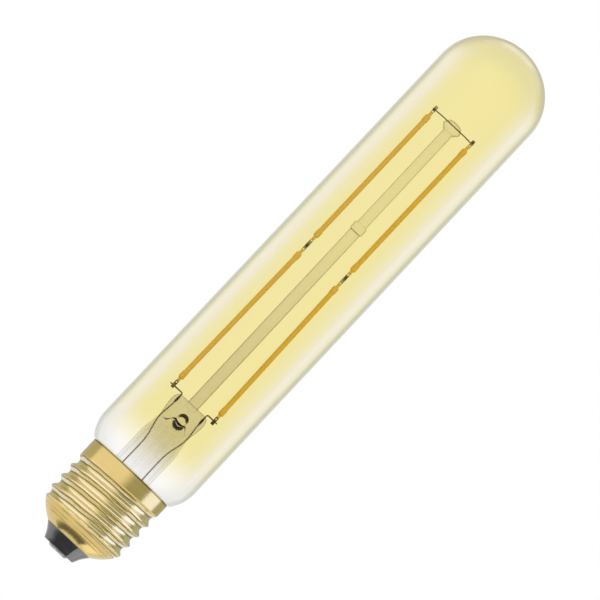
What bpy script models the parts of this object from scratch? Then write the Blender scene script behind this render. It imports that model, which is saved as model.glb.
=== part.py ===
"""Tubular LED filament bulb with a screw cap.

Lengths are metres. z is zero at the flat of the centre contact and runs up the bulb's axis to the dome.
The wires and filaments lie near the plane y = 0, with the left side at -x.
Names that end in share or shares hold shares of the sizes that they follow.
"""

import math

import bmesh
import bpy
from mathutils import Vector

# Clearances
FIT = 0.0003  # between pieces that touch on the real bulb
OVERRUN = 0.001  # how far a cutter runs past the face that it opens

# Glass envelope
LENGTH = 0.1832
TUBE_RADIUS = 0.01618
TUBE_WALL = 0.0009
DOME_HEIGHT = 0.0154
SHOULDER_RADIUS = 0.011
SHOULDER_TOP_Z = 0.036
NECK_BOTTOM_Z = 0.017
NECK_FILLET = 0.0015

# Screw cap, one rolled sheet
CAP_TOP_Z = 0.0287
CAP_SHEET = 0.0003
CREST_RADIUS = 0.01313
SKIRT_STEP = 0.00005  # how far the skirt lies inside the crests
CEMENT_GAP = 0.00158  # between the skirt's inside and the glass neck
THREAD_DEPTH = 0.00108
THREAD_PITCH = 0.00363
CREST_Z = 0.02136  # the highest free crest, where it crosses +x
CREST_SHARPNESS = 1.6
RUNOUT_START_SHARE = -0.1  # of a turn above that crest, where the last valley starts to rise
RUNOUT_END_SHARE = 0.3
CONE_BOTTOM_Z = 0.00466
CONE_BOTTOM_RADIUS = 0.0075
CONE_MARGIN = 0.00015  # how far outside the crests the cone's curve would end
CONE_HEIGHT = 0.0075
CONE_LEVELS = 5
ROW_SHARES = (0.0, 0.1, 0.25, 0.5, 0.75, 0.9)  # of the pitch, rows of points from crest to crest

# Glass insulator and centre contact
INSULATOR_BOTTOM_Z = 0.00065
INSULATOR_BOTTOM_RADIUS = 0.005
INSULATOR_STEP = 0.00005  # how far it lies inside the cap's open end
INSULATOR_HOLLOW = 0.00025  # how far its side bends in
INSULATOR_LEDGE = 0.00035
INSULATOR_SEAT_SHARES = (0.03, 0.12, 0.24)  # of the cone's height, where it lines the cap
CONTACT_RADIUS = 0.0031
CONTACT_FLAT_RADIUS = 0.0023
STUD_RADIUS = 0.001

# Stem: flare, tube and flat press, drawn from one glass tube
STEM_WALL = 0.00085
FLARE_BOTTOM_Z = 0.0175
FLARE_HEIGHT = 0.0065
BLISTER_WAY_SHARE = 0.5  # of the blister's half height, how far the exhaust hole runs short of its middle
STEM_RADIUS = 0.00595
TUBE_TOP_Z = 0.0385
PRESS_TOP_Z = 0.05283
PRESS_HALF_WIDTH = 0.00572
PRESS_HALF_DEPTH = 0.0019
ROOF_Z = 0.0436
ROOF_HALF_WIDTH = 0.0029
ROOF_HALF_DEPTH = 0.00195
BLISTER_HALF_WIDTH = 0.0019
BLISTER_HALF_HEIGHT = 0.00235
BLISTER_HALF_DEPTH = 0.0014
BLISTER_Z = 0.04735
FLARE_SHARES = ((0.0, 1.0), (0.06, 0.8), (0.18, 0.5), (0.38, 0.24), (0.66, 0.07), (1.0, 0.0))
PRESS_SHARES = (
    # height from the tube to the press top, half width, depth from the press to the tube
    (0.26, 0.965, 0.6),
    (0.42, 0.9, 0.2),
    (0.53, 0.9, 0.04),
    (0.68, 0.965, 0.0),
    (0.83, 1.0, 0.0),
    (0.93, 0.955, 0.0),
    (0.98, 0.87, -0.04),
    (1.0, 0.76, -0.12),
)
CAVITY_SHARES = ((0.35, 0.78), (0.9, 0.12), (1.0, 0.0))  # height to the roof, width and depth left

# Exhaust tube
EXHAUST_RADIUS = 0.00165
EXHAUST_BORE_RADIUS = 0.00085
EXHAUST_X = 0.00045
EXHAUST_WAY_Y = -0.0005
EXHAUST_TIP_Z = 0.0125
EXHAUST_TIP_LENGTH = 0.00248

# Centre post
POST_RADIUS = 0.00167
POST_UPPER_RADIUS = 0.00154
POST_FOOT_X = -0.0001
POST_HEAD_X = -0.0004
BEAD_PLACE_SHARE = 0.6472  # of the way from the press to the button
BEAD_LENGTH = 0.0026
BEAD_RADIUS = 0.00203
BUTTON_DROP = 0.03016  # from the dome's top to its underside
BUTTON_HEIGHT = 0.0034
BUTTON_RADIUS = 0.00285
BEAD_SHARES = ((0.0, 0.0), (0.1, 0.75), (0.3, 1.0), (0.5, 0.9), (0.7, 1.0), (0.9, 0.75), (1.0, 0.0))
BUTTON_SHARES = (
    # height, and radius from the rod to the rim
    (0.0, 0.0),
    (0.04, 0.3),
    (0.14, 0.36),
    (0.24, 0.7),
    (0.4, 0.98),
    (0.55, 0.94),
    (0.68, 0.66),
    (0.8, 0.5),
)

# Filaments, two in line on each side
COAT_RADIUS = 0.0007
END_RADIUS = 0.00083
END_LENGTH = 0.002
NECK_LENGTH = 0.001
FILAMENT_NECK_RADIUS = 0.00045
FOOT_RISE = 0.0031  # above the press
HEAD_DROP = 0.0303  # below the dome's top
MIDDLE_GAP = 0.0061
MIDDLE_PLACE_SHARE = 0.5076  # of the way from foot to head
LEFT_FOOT_X = -0.00763
LEFT_MIDDLE_X = -0.00724
LEFT_HEAD_X = -0.00726
RIGHT_FOOT_X = 0.00684
RIGHT_MIDDLE_X = 0.00622
RIGHT_HEAD_X = 0.0063

# Metal tabs at the filaments' ends
TAB_WIDTH = 0.00093
TAB_THICKNESS = 0.00025
TAB_LENGTH = 0.0024
TAB_LONG_LENGTH = 0.0033
TAB_HOLE_RADIUS = 0.00026
TAB_HOLE_INSET = 0.00055

# Wires
LEAD_RADIUS = 0.0002
LEAD_FLARE_X = 0.00345
LEAD_PRESS_X = 0.00435
LEAD_FLARE_RISE = 0.013  # above the flare's rim, where they come in to the tube
LEAD_BEND = 0.0006
LEAD_SWEEP = 0.006
LEAD_OVERHANG = 0.0011
LEFT_LEAD_Z = 0.05335
RIGHT_LEAD_Z = 0.05367
BRIDGE_RADIUS = 0.000175
BRIDGE_DROP = 0.0278  # below the dome's top
BRIDGE_OVERHANG = 0.0006

# Driver board and what it carries
BOARD_SEAT_SHARE = 0.48  # of the cone's height, where the board's edge wedges
BOARD_THICKNESS = 0.001
BRIDGE_CHIP_SIZE = (0.0047, 0.004, 0.0016)
DRIVER_CHIP_SIZE = (0.0049, 0.0039, 0.0015)
FUSE_SIZE = (0.0032, 0.0025, 0.0015)
CHIP_PLACE_SHARE = 0.623  # of the board's radius, where the middles of its four parts stand
CHIP_EDGE = 0.0002
CAPACITOR_RADIUS = 0.0025
CAPACITOR_HEIGHT = 0.0055
CONTACT_WIRE_RADIUS = 0.0004
SHELL_WIRE_RADIUS = 0.0002
SHELL_WIRE_TOP_Z = 0.0155
WIRE_BEND = 0.001
BEND_SHARE = 0.48  # the most of a straight leg that one bend may take

# Numbers of facets
TUBE_SEGMENTS = 32
CAP_SEGMENTS = 28
BASE_SEGMENTS = 24
STEM_SEGMENTS = 22
ROD_SEGMENTS = 12
FILAMENT_SEGMENTS = 8
BEND_STEPS = 3
WIRE_BEVEL_STEPS = 2
SMOOTH_ANGLE = math.radians(35)

# Places worked out from the sizes above
SEAT_Z = CAP_TOP_Z + FIT  # where the glass shoulder sits over the cap's rim
SKIRT_RADIUS = CREST_RADIUS - SKIRT_STEP
NECK_RADIUS = SKIRT_RADIUS - CAP_SHEET - CEMENT_GAP
THREAD_ROOT_RADIUS = CREST_RADIUS - THREAD_DEPTH
PRESS_HEIGHT = PRESS_TOP_Z - TUBE_TOP_Z
THREAD_TOP_Z = CREST_Z + THREAD_PITCH * (1 + RUNOUT_END_SHARE)
BUTTON_BOTTOM_Z = LENGTH - BUTTON_DROP
BEAD_Z = PRESS_TOP_Z + BEAD_PLACE_SHARE * (BUTTON_BOTTOM_Z - PRESS_TOP_Z)
BRIDGE_Z = LENGTH - BRIDGE_DROP
LOWER_FOOT_Z = PRESS_TOP_Z + FOOT_RISE
UPPER_HEAD_Z = LENGTH - HEAD_DROP
MIDDLE_Z = LOWER_FOOT_Z + MIDDLE_PLACE_SHARE * (UPPER_HEAD_Z - LOWER_FOOT_Z)
LOWER_HEAD_Z = MIDDLE_Z - MIDDLE_GAP / 2
UPPER_FOOT_Z = MIDDLE_Z + MIDDLE_GAP / 2


def clear_scene():
    for found in list(bpy.data.objects):
        bpy.data.objects.remove(found, do_unlink=True)


def material(name, colour, roughness, metallic=0.0, transmission=0.0):
    """A Principled material: colour as sRGB shares of full brightness."""
    made = bpy.data.materials.new(name)
    made.use_nodes = True
    shader = made.node_tree.nodes["Principled BSDF"]
    linear = [share ** 2.2 for share in colour]
    shader.inputs["Base Color"].default_value = (*linear, 1.0)
    shader.inputs["Roughness"].default_value = roughness
    shader.inputs["Metallic"].default_value = metallic
    shader.inputs["Transmission Weight"].default_value = transmission
    made.diffuse_color = (*linear, 1.0)
    return made


def link(name, data, finish):
    made = bpy.data.objects.new(name, data)
    data.materials.append(finish)
    bpy.context.scene.collection.objects.link(made)
    return made


def mesh_object(name, bm, finish):
    """Closes the bmesh into a smooth-shaded object with its faces out."""
    bmesh.ops.recalc_face_normals(bm, faces=bm.faces)
    data = bpy.data.meshes.new(name)
    bm.to_mesh(data)
    bm.free()
    for face in data.polygons:
        face.use_smooth = True
    data.set_sharp_from_angle(angle=SMOOTH_ANGLE)
    return link(name, data, finish)


def arc(centre, radius, start, end, steps, height=None):
    """Points (r, z) from one angle to another, in degrees; a height makes it part of an ellipse."""
    rise = radius if height is None else height
    angles = [math.radians(start + (end - start) * step / steps) for step in range(steps + 1)]
    return [(centre[0] + radius * math.cos(a), centre[1] + rise * math.sin(a)) for a in angles]


def revolve(name, outline, segments, finish):
    """Spins a closed outline of (r, z) points about the z axis."""
    bm = bmesh.new()
    points = [bm.verts.new((r, 0.0, z)) for r, z in outline]
    edges = []
    for first, second in zip(points, points[1:] + points[:1]):
        if first.co.x > 0.0 or second.co.x > 0.0:
            edges.append(bm.edges.new((first, second)))
    axis = (0.0, 0.0, 1.0)
    turn = 2 * math.pi
    centre = (0.0, 0.0, 0.0)
    bmesh.ops.spin(bm, geom=points + edges, cent=centre, axis=axis, angle=turn, steps=segments,
                   use_merge=True, use_duplicate=False)
    bmesh.ops.remove_doubles(bm, verts=bm.verts, dist=FIT / 1000)
    return mesh_object(name, bm, finish)


def skin(name, rings, finish):
    """Joins rings of points, all of one length, by quads, and caps the two end rings."""
    bm = bmesh.new()
    rows = [[bm.verts.new(point) for point in ring] for ring in rings]
    bm.faces.new(rows[0])
    bm.faces.new(rows[-1])
    for lower, upper in zip(rows, rows[1:]):
        for i in range(len(lower)):
            j = (i + 1) % len(lower)
            bm.faces.new((lower[i], lower[j], upper[j], upper[i]))
    return mesh_object(name, bm, finish)


def sheet(name, rows, finish):
    """Joins rows of points by quads, the last row to the first, and merges the points that meet."""
    bm = bmesh.new()
    made = [[bm.verts.new(point) for point in row] for row in rows]
    for lower, upper in zip(made, made[1:] + made[:1]):
        for i in range(len(lower) - 1):
            bm.faces.new((lower[i], lower[i + 1], upper[i + 1], upper[i]))
    bmesh.ops.remove_doubles(bm, verts=bm.verts, dist=FIT / 1000)
    return mesh_object(name, bm, finish)


def ellipse_ring(half_width, half_depth, z, segments):
    angles = [2 * math.pi * i / segments for i in range(segments)]
    return [(half_width * math.cos(a), half_depth * math.sin(a), z) for a in angles]


def rounded_path(corners, bend):
    """A polyline whose corners are rounded off over the length bend, or less where a leg is short."""
    corners = [Vector(corner) for corner in corners]
    path = [corners[0]]
    for before, corner, after in zip(corners, corners[1:], corners[2:]):
        back = before - corner
        on = after - corner
        reach = min(bend, BEND_SHARE * back.length, BEND_SHARE * on.length)
        start = corner + reach * back.normalized()
        end = corner + reach * on.normalized()
        for step in range(BEND_STEPS + 1):
            t = step / BEND_STEPS
            path.append((1 - t) ** 2 * start + 2 * t * (1 - t) * corner + t ** 2 * end)
    path.append(corners[-1])
    return path


def wire(name, path, radius, finish):
    """A round wire along a polyline, with closed ends."""
    data = bpy.data.curves.new(name, "CURVE")
    data.dimensions = "3D"
    data.bevel_depth = radius
    data.bevel_resolution = WIRE_BEVEL_STEPS
    data.use_fill_caps = True
    spline = data.splines.new("POLY")
    spline.points.add(len(path) - 1)
    for point, place in zip(spline.points, path):
        point.co = (*place, 1.0)
    return link(name, data, finish)


def drill(name, path, radius, finish):
    """A round cutter along a polyline: the mesh of a wire, and the wire removed."""
    helper = wire(name, path, radius, finish)
    bpy.context.view_layer.update()
    graph = bpy.context.evaluated_depsgraph_get()
    data = bpy.data.meshes.new_from_object(helper.evaluated_get(graph))
    bpy.data.objects.remove(helper, do_unlink=True)
    bm = bmesh.new()
    bm.from_mesh(data)
    bmesh.ops.remove_doubles(bm, verts=bm.verts, dist=FIT / 1000)
    return mesh_object(name, bm, finish)


def cut(target, helper):
    helper.hide_render = True
    helper.display_type = "WIRE"
    boolean = target.modifiers.new(helper.name, "BOOLEAN")
    boolean.operation = "DIFFERENCE"
    boolean.object = helper


def aim(placed, foot, head):
    """Puts an object that was built up +z from the origin on the line from foot to head."""
    placed.location = foot
    along = Vector(head) - Vector(foot)
    placed.rotation_euler = along.to_track_quat("Z", "Y").to_euler()


def box(name, size, place, finish):
    """A chip: a box with eased edges that stands on place."""
    bm = bmesh.new()
    bmesh.ops.create_cube(bm, size=1)
    bmesh.ops.scale(bm, vec=size, verts=bm.verts)
    bmesh.ops.bevel(bm, geom=bm.edges[:], offset=CHIP_EDGE, segments=1, affect="EDGES")
    made = mesh_object(name, bm, finish)
    made.location = (place[0], place[1], place[2] + size[2] / 2)
    return made


def shoulder_start(wall):
    """Where the shoulder's arc starts on the seat, in degrees, at a depth of wall below the outer face."""
    return -math.degrees(math.asin((SHOULDER_TOP_Z - SEAT_Z - wall) / (SHOULDER_RADIUS - wall)))


def glass_envelope(finish):
    """Neck, shoulder, tube and dome, blown as one piece; only the neck is open."""
    fillet_centre = (NECK_RADIUS + NECK_FILLET, SEAT_Z - NECK_FILLET)
    shoulder_centre = (TUBE_RADIUS - SHOULDER_RADIUS, SHOULDER_TOP_Z)
    dome_centre = (0.0, LENGTH - DOME_HEIGHT)
    outer = [(NECK_RADIUS, NECK_BOTTOM_Z)]
    outer += arc(fillet_centre, NECK_FILLET, 180, 90, 3)
    outer += arc(shoulder_centre, SHOULDER_RADIUS, shoulder_start(0.0), 0, 5)
    outer += arc(dome_centre, TUBE_RADIUS, 0, 90, 8, DOME_HEIGHT)
    outer[-1] = (0.0, LENGTH)
    inner = [(NECK_RADIUS - TUBE_WALL, NECK_BOTTOM_Z)]
    inner += arc(fillet_centre, NECK_FILLET + TUBE_WALL, 180, 100, 3)
    inner += arc(shoulder_centre, SHOULDER_RADIUS - TUBE_WALL, shoulder_start(TUBE_WALL), 0, 5)
    inner += arc(dome_centre, TUBE_RADIUS - TUBE_WALL, 0, 90, 8, DOME_HEIGHT - TUBE_WALL)
    inner[-1] = (0.0, LENGTH - TUBE_WALL)
    return revolve("glass_envelope", outer + inner[::-1], TUBE_SEGMENTS, finish)


def cone_radius(z):
    """The cap's lower end, drawn in to the insulator."""
    share = min((z - CONE_BOTTOM_Z) / CONE_HEIGHT, 1.0)
    width = CREST_RADIUS + CONE_MARGIN - CONE_BOTTOM_RADIUS
    return CONE_BOTTOM_RADIUS + width * (1 - (1 - share) ** 2)


def cap_radius(angle, z):
    """The outside of the cap at an angle from +x: a right-hand thread between the cone and the skirt."""
    turns = (z - CREST_Z) / THREAD_PITCH - angle / (2 * math.pi)
    whole = math.floor(turns)
    crest = ((1 + math.cos(2 * math.pi * (turns - whole))) / 2) ** CREST_SHARPNESS
    climbed = whole + angle / (2 * math.pi)
    left = (RUNOUT_END_SHARE - climbed) / (RUNOUT_END_SHARE - RUNOUT_START_SHARE)
    left = min(max(left, 0.0), 1.0)
    depth = THREAD_DEPTH * left * left * (3 - 2 * left)
    top = SKIRT_RADIUS + (CREST_RADIUS - SKIRT_RADIUS) * min(max(-climbed, 0.0), 1.0)
    return min(top - depth * (1 - crest), cone_radius(z))


def sheet_point(angle, z, inset):
    """A point that lies inset below the cap's outer face, square to it along its section."""
    step = CAP_SHEET / 10
    slope = (cap_radius(angle, z + step) - cap_radius(angle, z - step)) / (2 * step)
    length = math.hypot(1.0, slope)
    radius = cap_radius(angle, z) - inset / length
    return (radius * math.cos(angle), radius * math.sin(angle), z + inset * slope / length)


def cap_rows(inset):
    """Rows of points round the cap: flat rings on the cone, then rows that climb with the thread."""
    cone_top = CONE_BOTTOM_Z + CONE_HEIGHT / 2
    turn_shares = [i / CAP_SEGMENTS for i in range(CAP_SEGMENTS + 1)]
    heights = [CONE_BOTTOM_Z + (cone_top - CONE_BOTTOM_Z) * i / CONE_LEVELS for i in range(CONE_LEVELS)]
    rows = [[(turn, z) for turn in turn_shares] for z in heights]
    lowest = math.floor((cone_top - CREST_Z) / THREAD_PITCH) - 1
    highest = math.ceil((THREAD_TOP_Z - CREST_Z) / THREAD_PITCH)
    for crest in range(lowest, highest):
        for row in ROW_SHARES:
            climb = [CREST_Z + (crest + row + turn) * THREAD_PITCH for turn in turn_shares]
            held = [min(max(z, cone_top), THREAD_TOP_Z) for z in climb]
            rows.append(list(zip(turn_shares, held)))
    rows.append([(turn, THREAD_TOP_Z) for turn in turn_shares])
    rows.append([(turn, CAP_TOP_Z) for turn in turn_shares])
    return [[sheet_point(2 * math.pi * turn, z, inset) for turn, z in row] for row in rows]


def cap_shell(finish):
    """The rolled cap: its inside follows the thread too, a sheet's thickness below the outside."""
    return sheet("cap_shell", cap_rows(0.0) + cap_rows(CAP_SHEET)[::-1], finish)


def cap_insulator(finish):
    """The glass that carries the centre contact, run into the cap's open end."""
    bore = STUD_RADIUS + FIT
    ledge_z = CONE_BOTTOM_Z - FIT
    top_radius = CONE_BOTTOM_RADIUS - INSULATOR_STEP
    middle_radius = (INSULATOR_BOTTOM_RADIUS + top_radius) / 2
    middle_z = (INSULATOR_BOTTOM_Z + ledge_z) / 2
    outline = [(bore, INSULATOR_BOTTOM_Z), (INSULATOR_BOTTOM_RADIUS, INSULATOR_BOTTOM_Z)]
    outline.append((middle_radius - INSULATOR_HOLLOW, middle_z))
    outline.append((top_radius, ledge_z))
    outline.append((top_radius - INSULATOR_LEDGE, ledge_z))
    for share in INSULATOR_SEAT_SHARES:
        seat = sheet_point(0.0, CONE_BOTTOM_Z + share * CONE_HEIGHT, CAP_SHEET + FIT)
        outline.append((seat[0], seat[2]))
    outline.append((bore, outline[-1][1]))
    made = revolve("cap_insulator", outline, BASE_SEGMENTS, finish)
    return made, outline[-1][1]


def center_contact(stud_top_z, finish):
    """The contact plate, its flat down at z = 0, with the stud that holds it in the insulator."""
    plate_top = INSULATOR_BOTTOM_Z - FIT
    outline = [(0.0, 0.0), (CONTACT_FLAT_RADIUS, 0.0)]
    edge_centre = (CONTACT_FLAT_RADIUS, plate_top)
    outline += arc(edge_centre, CONTACT_RADIUS - CONTACT_FLAT_RADIUS, -60, 0, 2, plate_top)
    outline += [(STUD_RADIUS, plate_top), (STUD_RADIUS, stud_top_z), (0.0, stud_top_z)]
    return revolve("center_contact", outline, BASE_SEGMENTS, finish)


def cap_cement(finish):
    """The ring of cement between the glass neck and the cap's skirt."""
    inner = NECK_RADIUS + FIT
    outer = SKIRT_RADIUS - CAP_SHEET - FIT
    bottom = THREAD_TOP_Z + FIT
    top = SEAT_Z - NECK_FILLET
    outline = [(inner, bottom), (outer, bottom), (outer, top), (inner, top)]
    return revolve("cap_cement", outline, BASE_SEGMENTS, finish)


def lead_path(side, foot_x, lead_z):
    """A lead wire's middle line, from the board up through the flare and the press to a filament's tab."""
    behind = TAB_THICKNESS + FIT / 2 + FIT + LEAD_RADIUS
    press_x = side * LEAD_PRESS_X
    board_x = side * (chip_place() - CAPACITOR_RADIUS - FIT - LEAD_RADIUS)
    corners = [
        (board_x, 0.0, board_top_z() + FIT),
        (board_x, 0.0, FLARE_BOTTOM_Z),
        (side * LEAD_FLARE_X, 0.0, FLARE_BOTTOM_Z + LEAD_FLARE_RISE),
        (side * LEAD_FLARE_X, 0.0, TUBE_TOP_Z),
        (press_x, 0.0, ROOF_Z + BLISTER_HALF_HEIGHT),
    ]
    gentle = rounded_path(corners, LEAD_SWEEP)
    tight = rounded_path(
        [
            gentle[-1],
            (press_x, 0.0, lead_z),
            (foot_x, behind, lead_z),
            (foot_x + side * LEAD_OVERHANG, behind, lead_z),
        ],
        LEAD_BEND,
    )
    return gentle[:-1] + tight


def board_top_z():
    return CONE_BOTTOM_Z + BOARD_SEAT_SHARE * CONE_HEIGHT + BOARD_THICKNESS


def board_edge():
    """The board's radius, where its lower edge seats in the cap."""
    return sheet_point(0.0, board_top_z() - BOARD_THICKNESS, CAP_SHEET + FIT)[0]


def chip_place():
    """How far from the axis the board's four parts stand."""
    return CHIP_PLACE_SHARE * board_edge()


def stem(finish):
    """Flare, tube and press in one skin, with the bores for the wires and the exhaust hole."""
    rim = NECK_RADIUS - TUBE_WALL - FIT - STEM_RADIUS
    outside = []
    inside = []
    for height, extra in FLARE_SHARES:
        z = FLARE_BOTTOM_Z + height * FLARE_HEIGHT
        radius = STEM_RADIUS + extra * rim
        outside.append(ellipse_ring(radius, radius, z, STEM_SEGMENTS))
        bore = radius - STEM_WALL
        inside.append(ellipse_ring(bore, bore, z, STEM_SEGMENTS))
    outside.append(ellipse_ring(STEM_RADIUS, STEM_RADIUS, TUBE_TOP_Z, STEM_SEGMENTS))
    for height, width, depth in PRESS_SHARES:
        half_depth = PRESS_HALF_DEPTH + depth * (STEM_RADIUS - PRESS_HALF_DEPTH)
        z = TUBE_TOP_Z + height * PRESS_HEIGHT
        outside.append(ellipse_ring(width * PRESS_HALF_WIDTH, half_depth, z, STEM_SEGMENTS))
    bore = STEM_RADIUS - STEM_WALL
    inside.append(ellipse_ring(bore, bore, TUBE_TOP_Z, STEM_SEGMENTS))
    for height, left in CAVITY_SHARES:
        half_width = ROOF_HALF_WIDTH + left * (bore - ROOF_HALF_WIDTH)
        half_depth = ROOF_HALF_DEPTH + left * (bore - ROOF_HALF_DEPTH)
        z = TUBE_TOP_Z + height * (ROOF_Z - TUBE_TOP_Z)
        inside.append(ellipse_ring(half_width, half_depth, z, STEM_SEGMENTS))
    made = skin("stem_flare", inside[::-1] + outside, finish)
    for name, side, foot_x, lead_z in sides():
        cut(made, drill("lead_bore_" + name, lead_path(side, foot_x, lead_z), LEAD_RADIUS + FIT, finish))
    cut(made, blister_cutter(finish))
    cut(made, exhaust_cutter(finish))
    return made


def blister_cutter(finish):
    """The hollow that the exhaust hole leaves in the front of the press."""
    bm = bmesh.new()
    bmesh.ops.create_icosphere(bm, subdivisions=2, radius=1)
    half_sizes = (BLISTER_HALF_WIDTH, BLISTER_HALF_DEPTH, BLISTER_HALF_HEIGHT)
    bmesh.ops.scale(bm, vec=half_sizes, verts=bm.verts)
    made = mesh_object("exhaust_blister", bm, finish)
    made.location = (EXHAUST_X, -PRESS_HALF_DEPTH, BLISTER_Z)
    return made


def exhaust_cutter(finish):
    """The way from the exhaust tube up to that hollow."""
    bottom = ROOF_Z - OVERRUN
    top = BLISTER_Z - BLISTER_WAY_SHARE * BLISTER_HALF_HEIGHT
    bm = bmesh.new()
    bmesh.ops.create_cone(bm, cap_ends=True, segments=ROD_SEGMENTS, radius1=EXHAUST_BORE_RADIUS,
                          radius2=EXHAUST_BORE_RADIUS, depth=top - bottom)
    made = mesh_object("exhaust_way", bm, finish)
    made.location = (EXHAUST_X, EXHAUST_WAY_Y, (top + bottom) / 2)
    return made


def exhaust_tube(finish):
    """The tube that the bulb was pumped through, drawn off to a closed tip inside the cap."""
    inner_tip = EXHAUST_TIP_Z + EXHAUST_TIP_LENGTH
    top = ROOF_Z - FIT
    outline = [(0.0, EXHAUST_TIP_Z)]
    outline += arc((0.0, inner_tip), EXHAUST_RADIUS, -70, 0, 3, EXHAUST_TIP_LENGTH)
    outline += [(EXHAUST_RADIUS, top), (EXHAUST_BORE_RADIUS, top), (EXHAUST_BORE_RADIUS, inner_tip)]
    outline.append((0.0, inner_tip - EXHAUST_BORE_RADIUS))
    made = revolve("exhaust_tube", outline, ROD_SEGMENTS, finish)
    made.location.x = EXHAUST_X
    return made


def post_point(z):
    """The centre post's middle line, which leans a little."""
    share = (z - PRESS_TOP_Z) / (BRIDGE_Z - PRESS_TOP_Z)
    return (POST_FOOT_X + share * (POST_HEAD_X - POST_FOOT_X), 0.0, z)


def center_post_lower(finish):
    foot_z = PRESS_TOP_Z + FIT
    length = BEAD_Z - BEAD_LENGTH / 2 - FIT - foot_z
    outline = [(0.0, 0.0), (POST_RADIUS, 0.0), (POST_RADIUS, length), (0.0, length)]
    made = revolve("center_post_lower", outline, ROD_SEGMENTS, finish)
    aim(made, post_point(foot_z), post_point(foot_z + length))


def center_post_upper(finish):
    """The upper rod: a bead where it was melted to the lower one, and a button round the bridge wire."""
    foot_z = BEAD_Z - BEAD_LENGTH / 2
    button_z = BUTTON_BOTTOM_Z - foot_z
    outline = [(0.0, 0.0)]
    swell = BEAD_RADIUS - POST_UPPER_RADIUS
    outline += [(POST_UPPER_RADIUS + out * swell, up * BEAD_LENGTH) for up, out in BEAD_SHARES]
    spread = BUTTON_RADIUS - POST_UPPER_RADIUS
    for up, out in BUTTON_SHARES:
        outline.append((POST_UPPER_RADIUS + out * spread, button_z + up * BUTTON_HEIGHT))
    crown_radius = outline[-1][0]
    crown_z = outline[-1][1]
    crown_height = button_z + BUTTON_HEIGHT - crown_z
    outline += arc((0.0, crown_z), crown_radius, 35, 90, 3, crown_height)
    outline[-1] = (0.0, button_z + BUTTON_HEIGHT)
    made = revolve("center_post_upper", outline, ROD_SEGMENTS, finish)
    aim(made, post_point(foot_z), post_point(foot_z + button_z))
    reach = BUTTON_RADIUS + OVERRUN
    middle = post_point(BRIDGE_Z)
    ends = [(middle[0] - reach, 0.0, BRIDGE_Z), (middle[0] + reach, 0.0, BRIDGE_Z)]
    cut(made, drill("bridge_bore", ends, BRIDGE_RADIUS + FIT, finish))


def bridge_wire(finish):
    """The cross wire that joins the two sides, held in the button."""
    behind = TAB_THICKNESS + FIT / 2 + FIT + BRIDGE_RADIUS
    inner_x = BUTTON_RADIUS + OVERRUN
    corners = [
        (LEFT_HEAD_X - BRIDGE_OVERHANG, behind, BRIDGE_Z),
        (LEFT_HEAD_X, behind, BRIDGE_Z),
        (POST_HEAD_X - inner_x, 0.0, BRIDGE_Z),
        (POST_HEAD_X + inner_x, 0.0, BRIDGE_Z),
        (RIGHT_HEAD_X, behind, BRIDGE_Z),
        (RIGHT_HEAD_X + BRIDGE_OVERHANG, behind, BRIDGE_Z),
    ]
    wire("bridge_wire", rounded_path(corners, LEAD_BEND), BRIDGE_RADIUS, finish)


def filament(name, foot, head, finish):
    """A coated strip from foot to head, thicker at its two ends and narrow where the tabs join it."""
    length = (Vector(head) - Vector(foot)).length
    ease = END_RADIUS - COAT_RADIUS
    half = [
        (0.0, -NECK_LENGTH),
        (FILAMENT_NECK_RADIUS, -NECK_LENGTH),
        (FILAMENT_NECK_RADIUS, 0.0),
        (END_RADIUS - ease, 0.0),
        (END_RADIUS, ease),
        (END_RADIUS, END_LENGTH - ease),
        (COAT_RADIUS, END_LENGTH),
    ]
    other = [(radius, length - z) for radius, z in reversed(half)]
    made = revolve(name, half + other, FILAMENT_SEGMENTS, finish)
    aim(made, foot, head)


def tab(name, start, toward, length, front, finish):
    """A metal tab that starts near a filament's neck; front is -1 for the side nearer -y, or 1."""
    direction = (Vector(toward) - Vector(start)).normalized()
    bm = bmesh.new()
    half_width = TAB_WIDTH / 2
    corners = [(-half_width, 0.0), (half_width, 0.0), (half_width, length), (-half_width, length)]
    face = bm.faces.new([bm.verts.new((x, -TAB_THICKNESS / 2, z)) for x, z in corners])
    pushed = bmesh.ops.extrude_face_region(bm, geom=[face])
    moved = [item for item in pushed["geom"] if isinstance(item, bmesh.types.BMVert)]
    bmesh.ops.translate(bm, verts=moved, vec=(0.0, TAB_THICKNESS, 0.0))
    made = mesh_object(name, bm, finish)
    for flat in made.data.polygons:
        flat.use_smooth = False
    hole_line = [(0.0, -OVERRUN, TAB_HOLE_INSET), (0.0, OVERRUN, TAB_HOLE_INSET)]
    drilled = drill(name + "_hole", hole_line, TAB_HOLE_RADIUS, finish)
    cut(made, drilled)
    offset = Vector((0.0, front * (TAB_THICKNESS + FIT) / 2, 0.0))
    place = Vector(start) + offset + direction * (NECK_LENGTH + FIT)
    aim(made, place, place + direction)
    drilled.parent = made


def sides():
    """Name, sign of x, the lower filament's foot and the lead wire's height, for each side."""
    return (("left", -1, LEFT_FOOT_X, LEFT_LEAD_Z), ("right", 1, RIGHT_FOOT_X, RIGHT_LEAD_Z))


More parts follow.
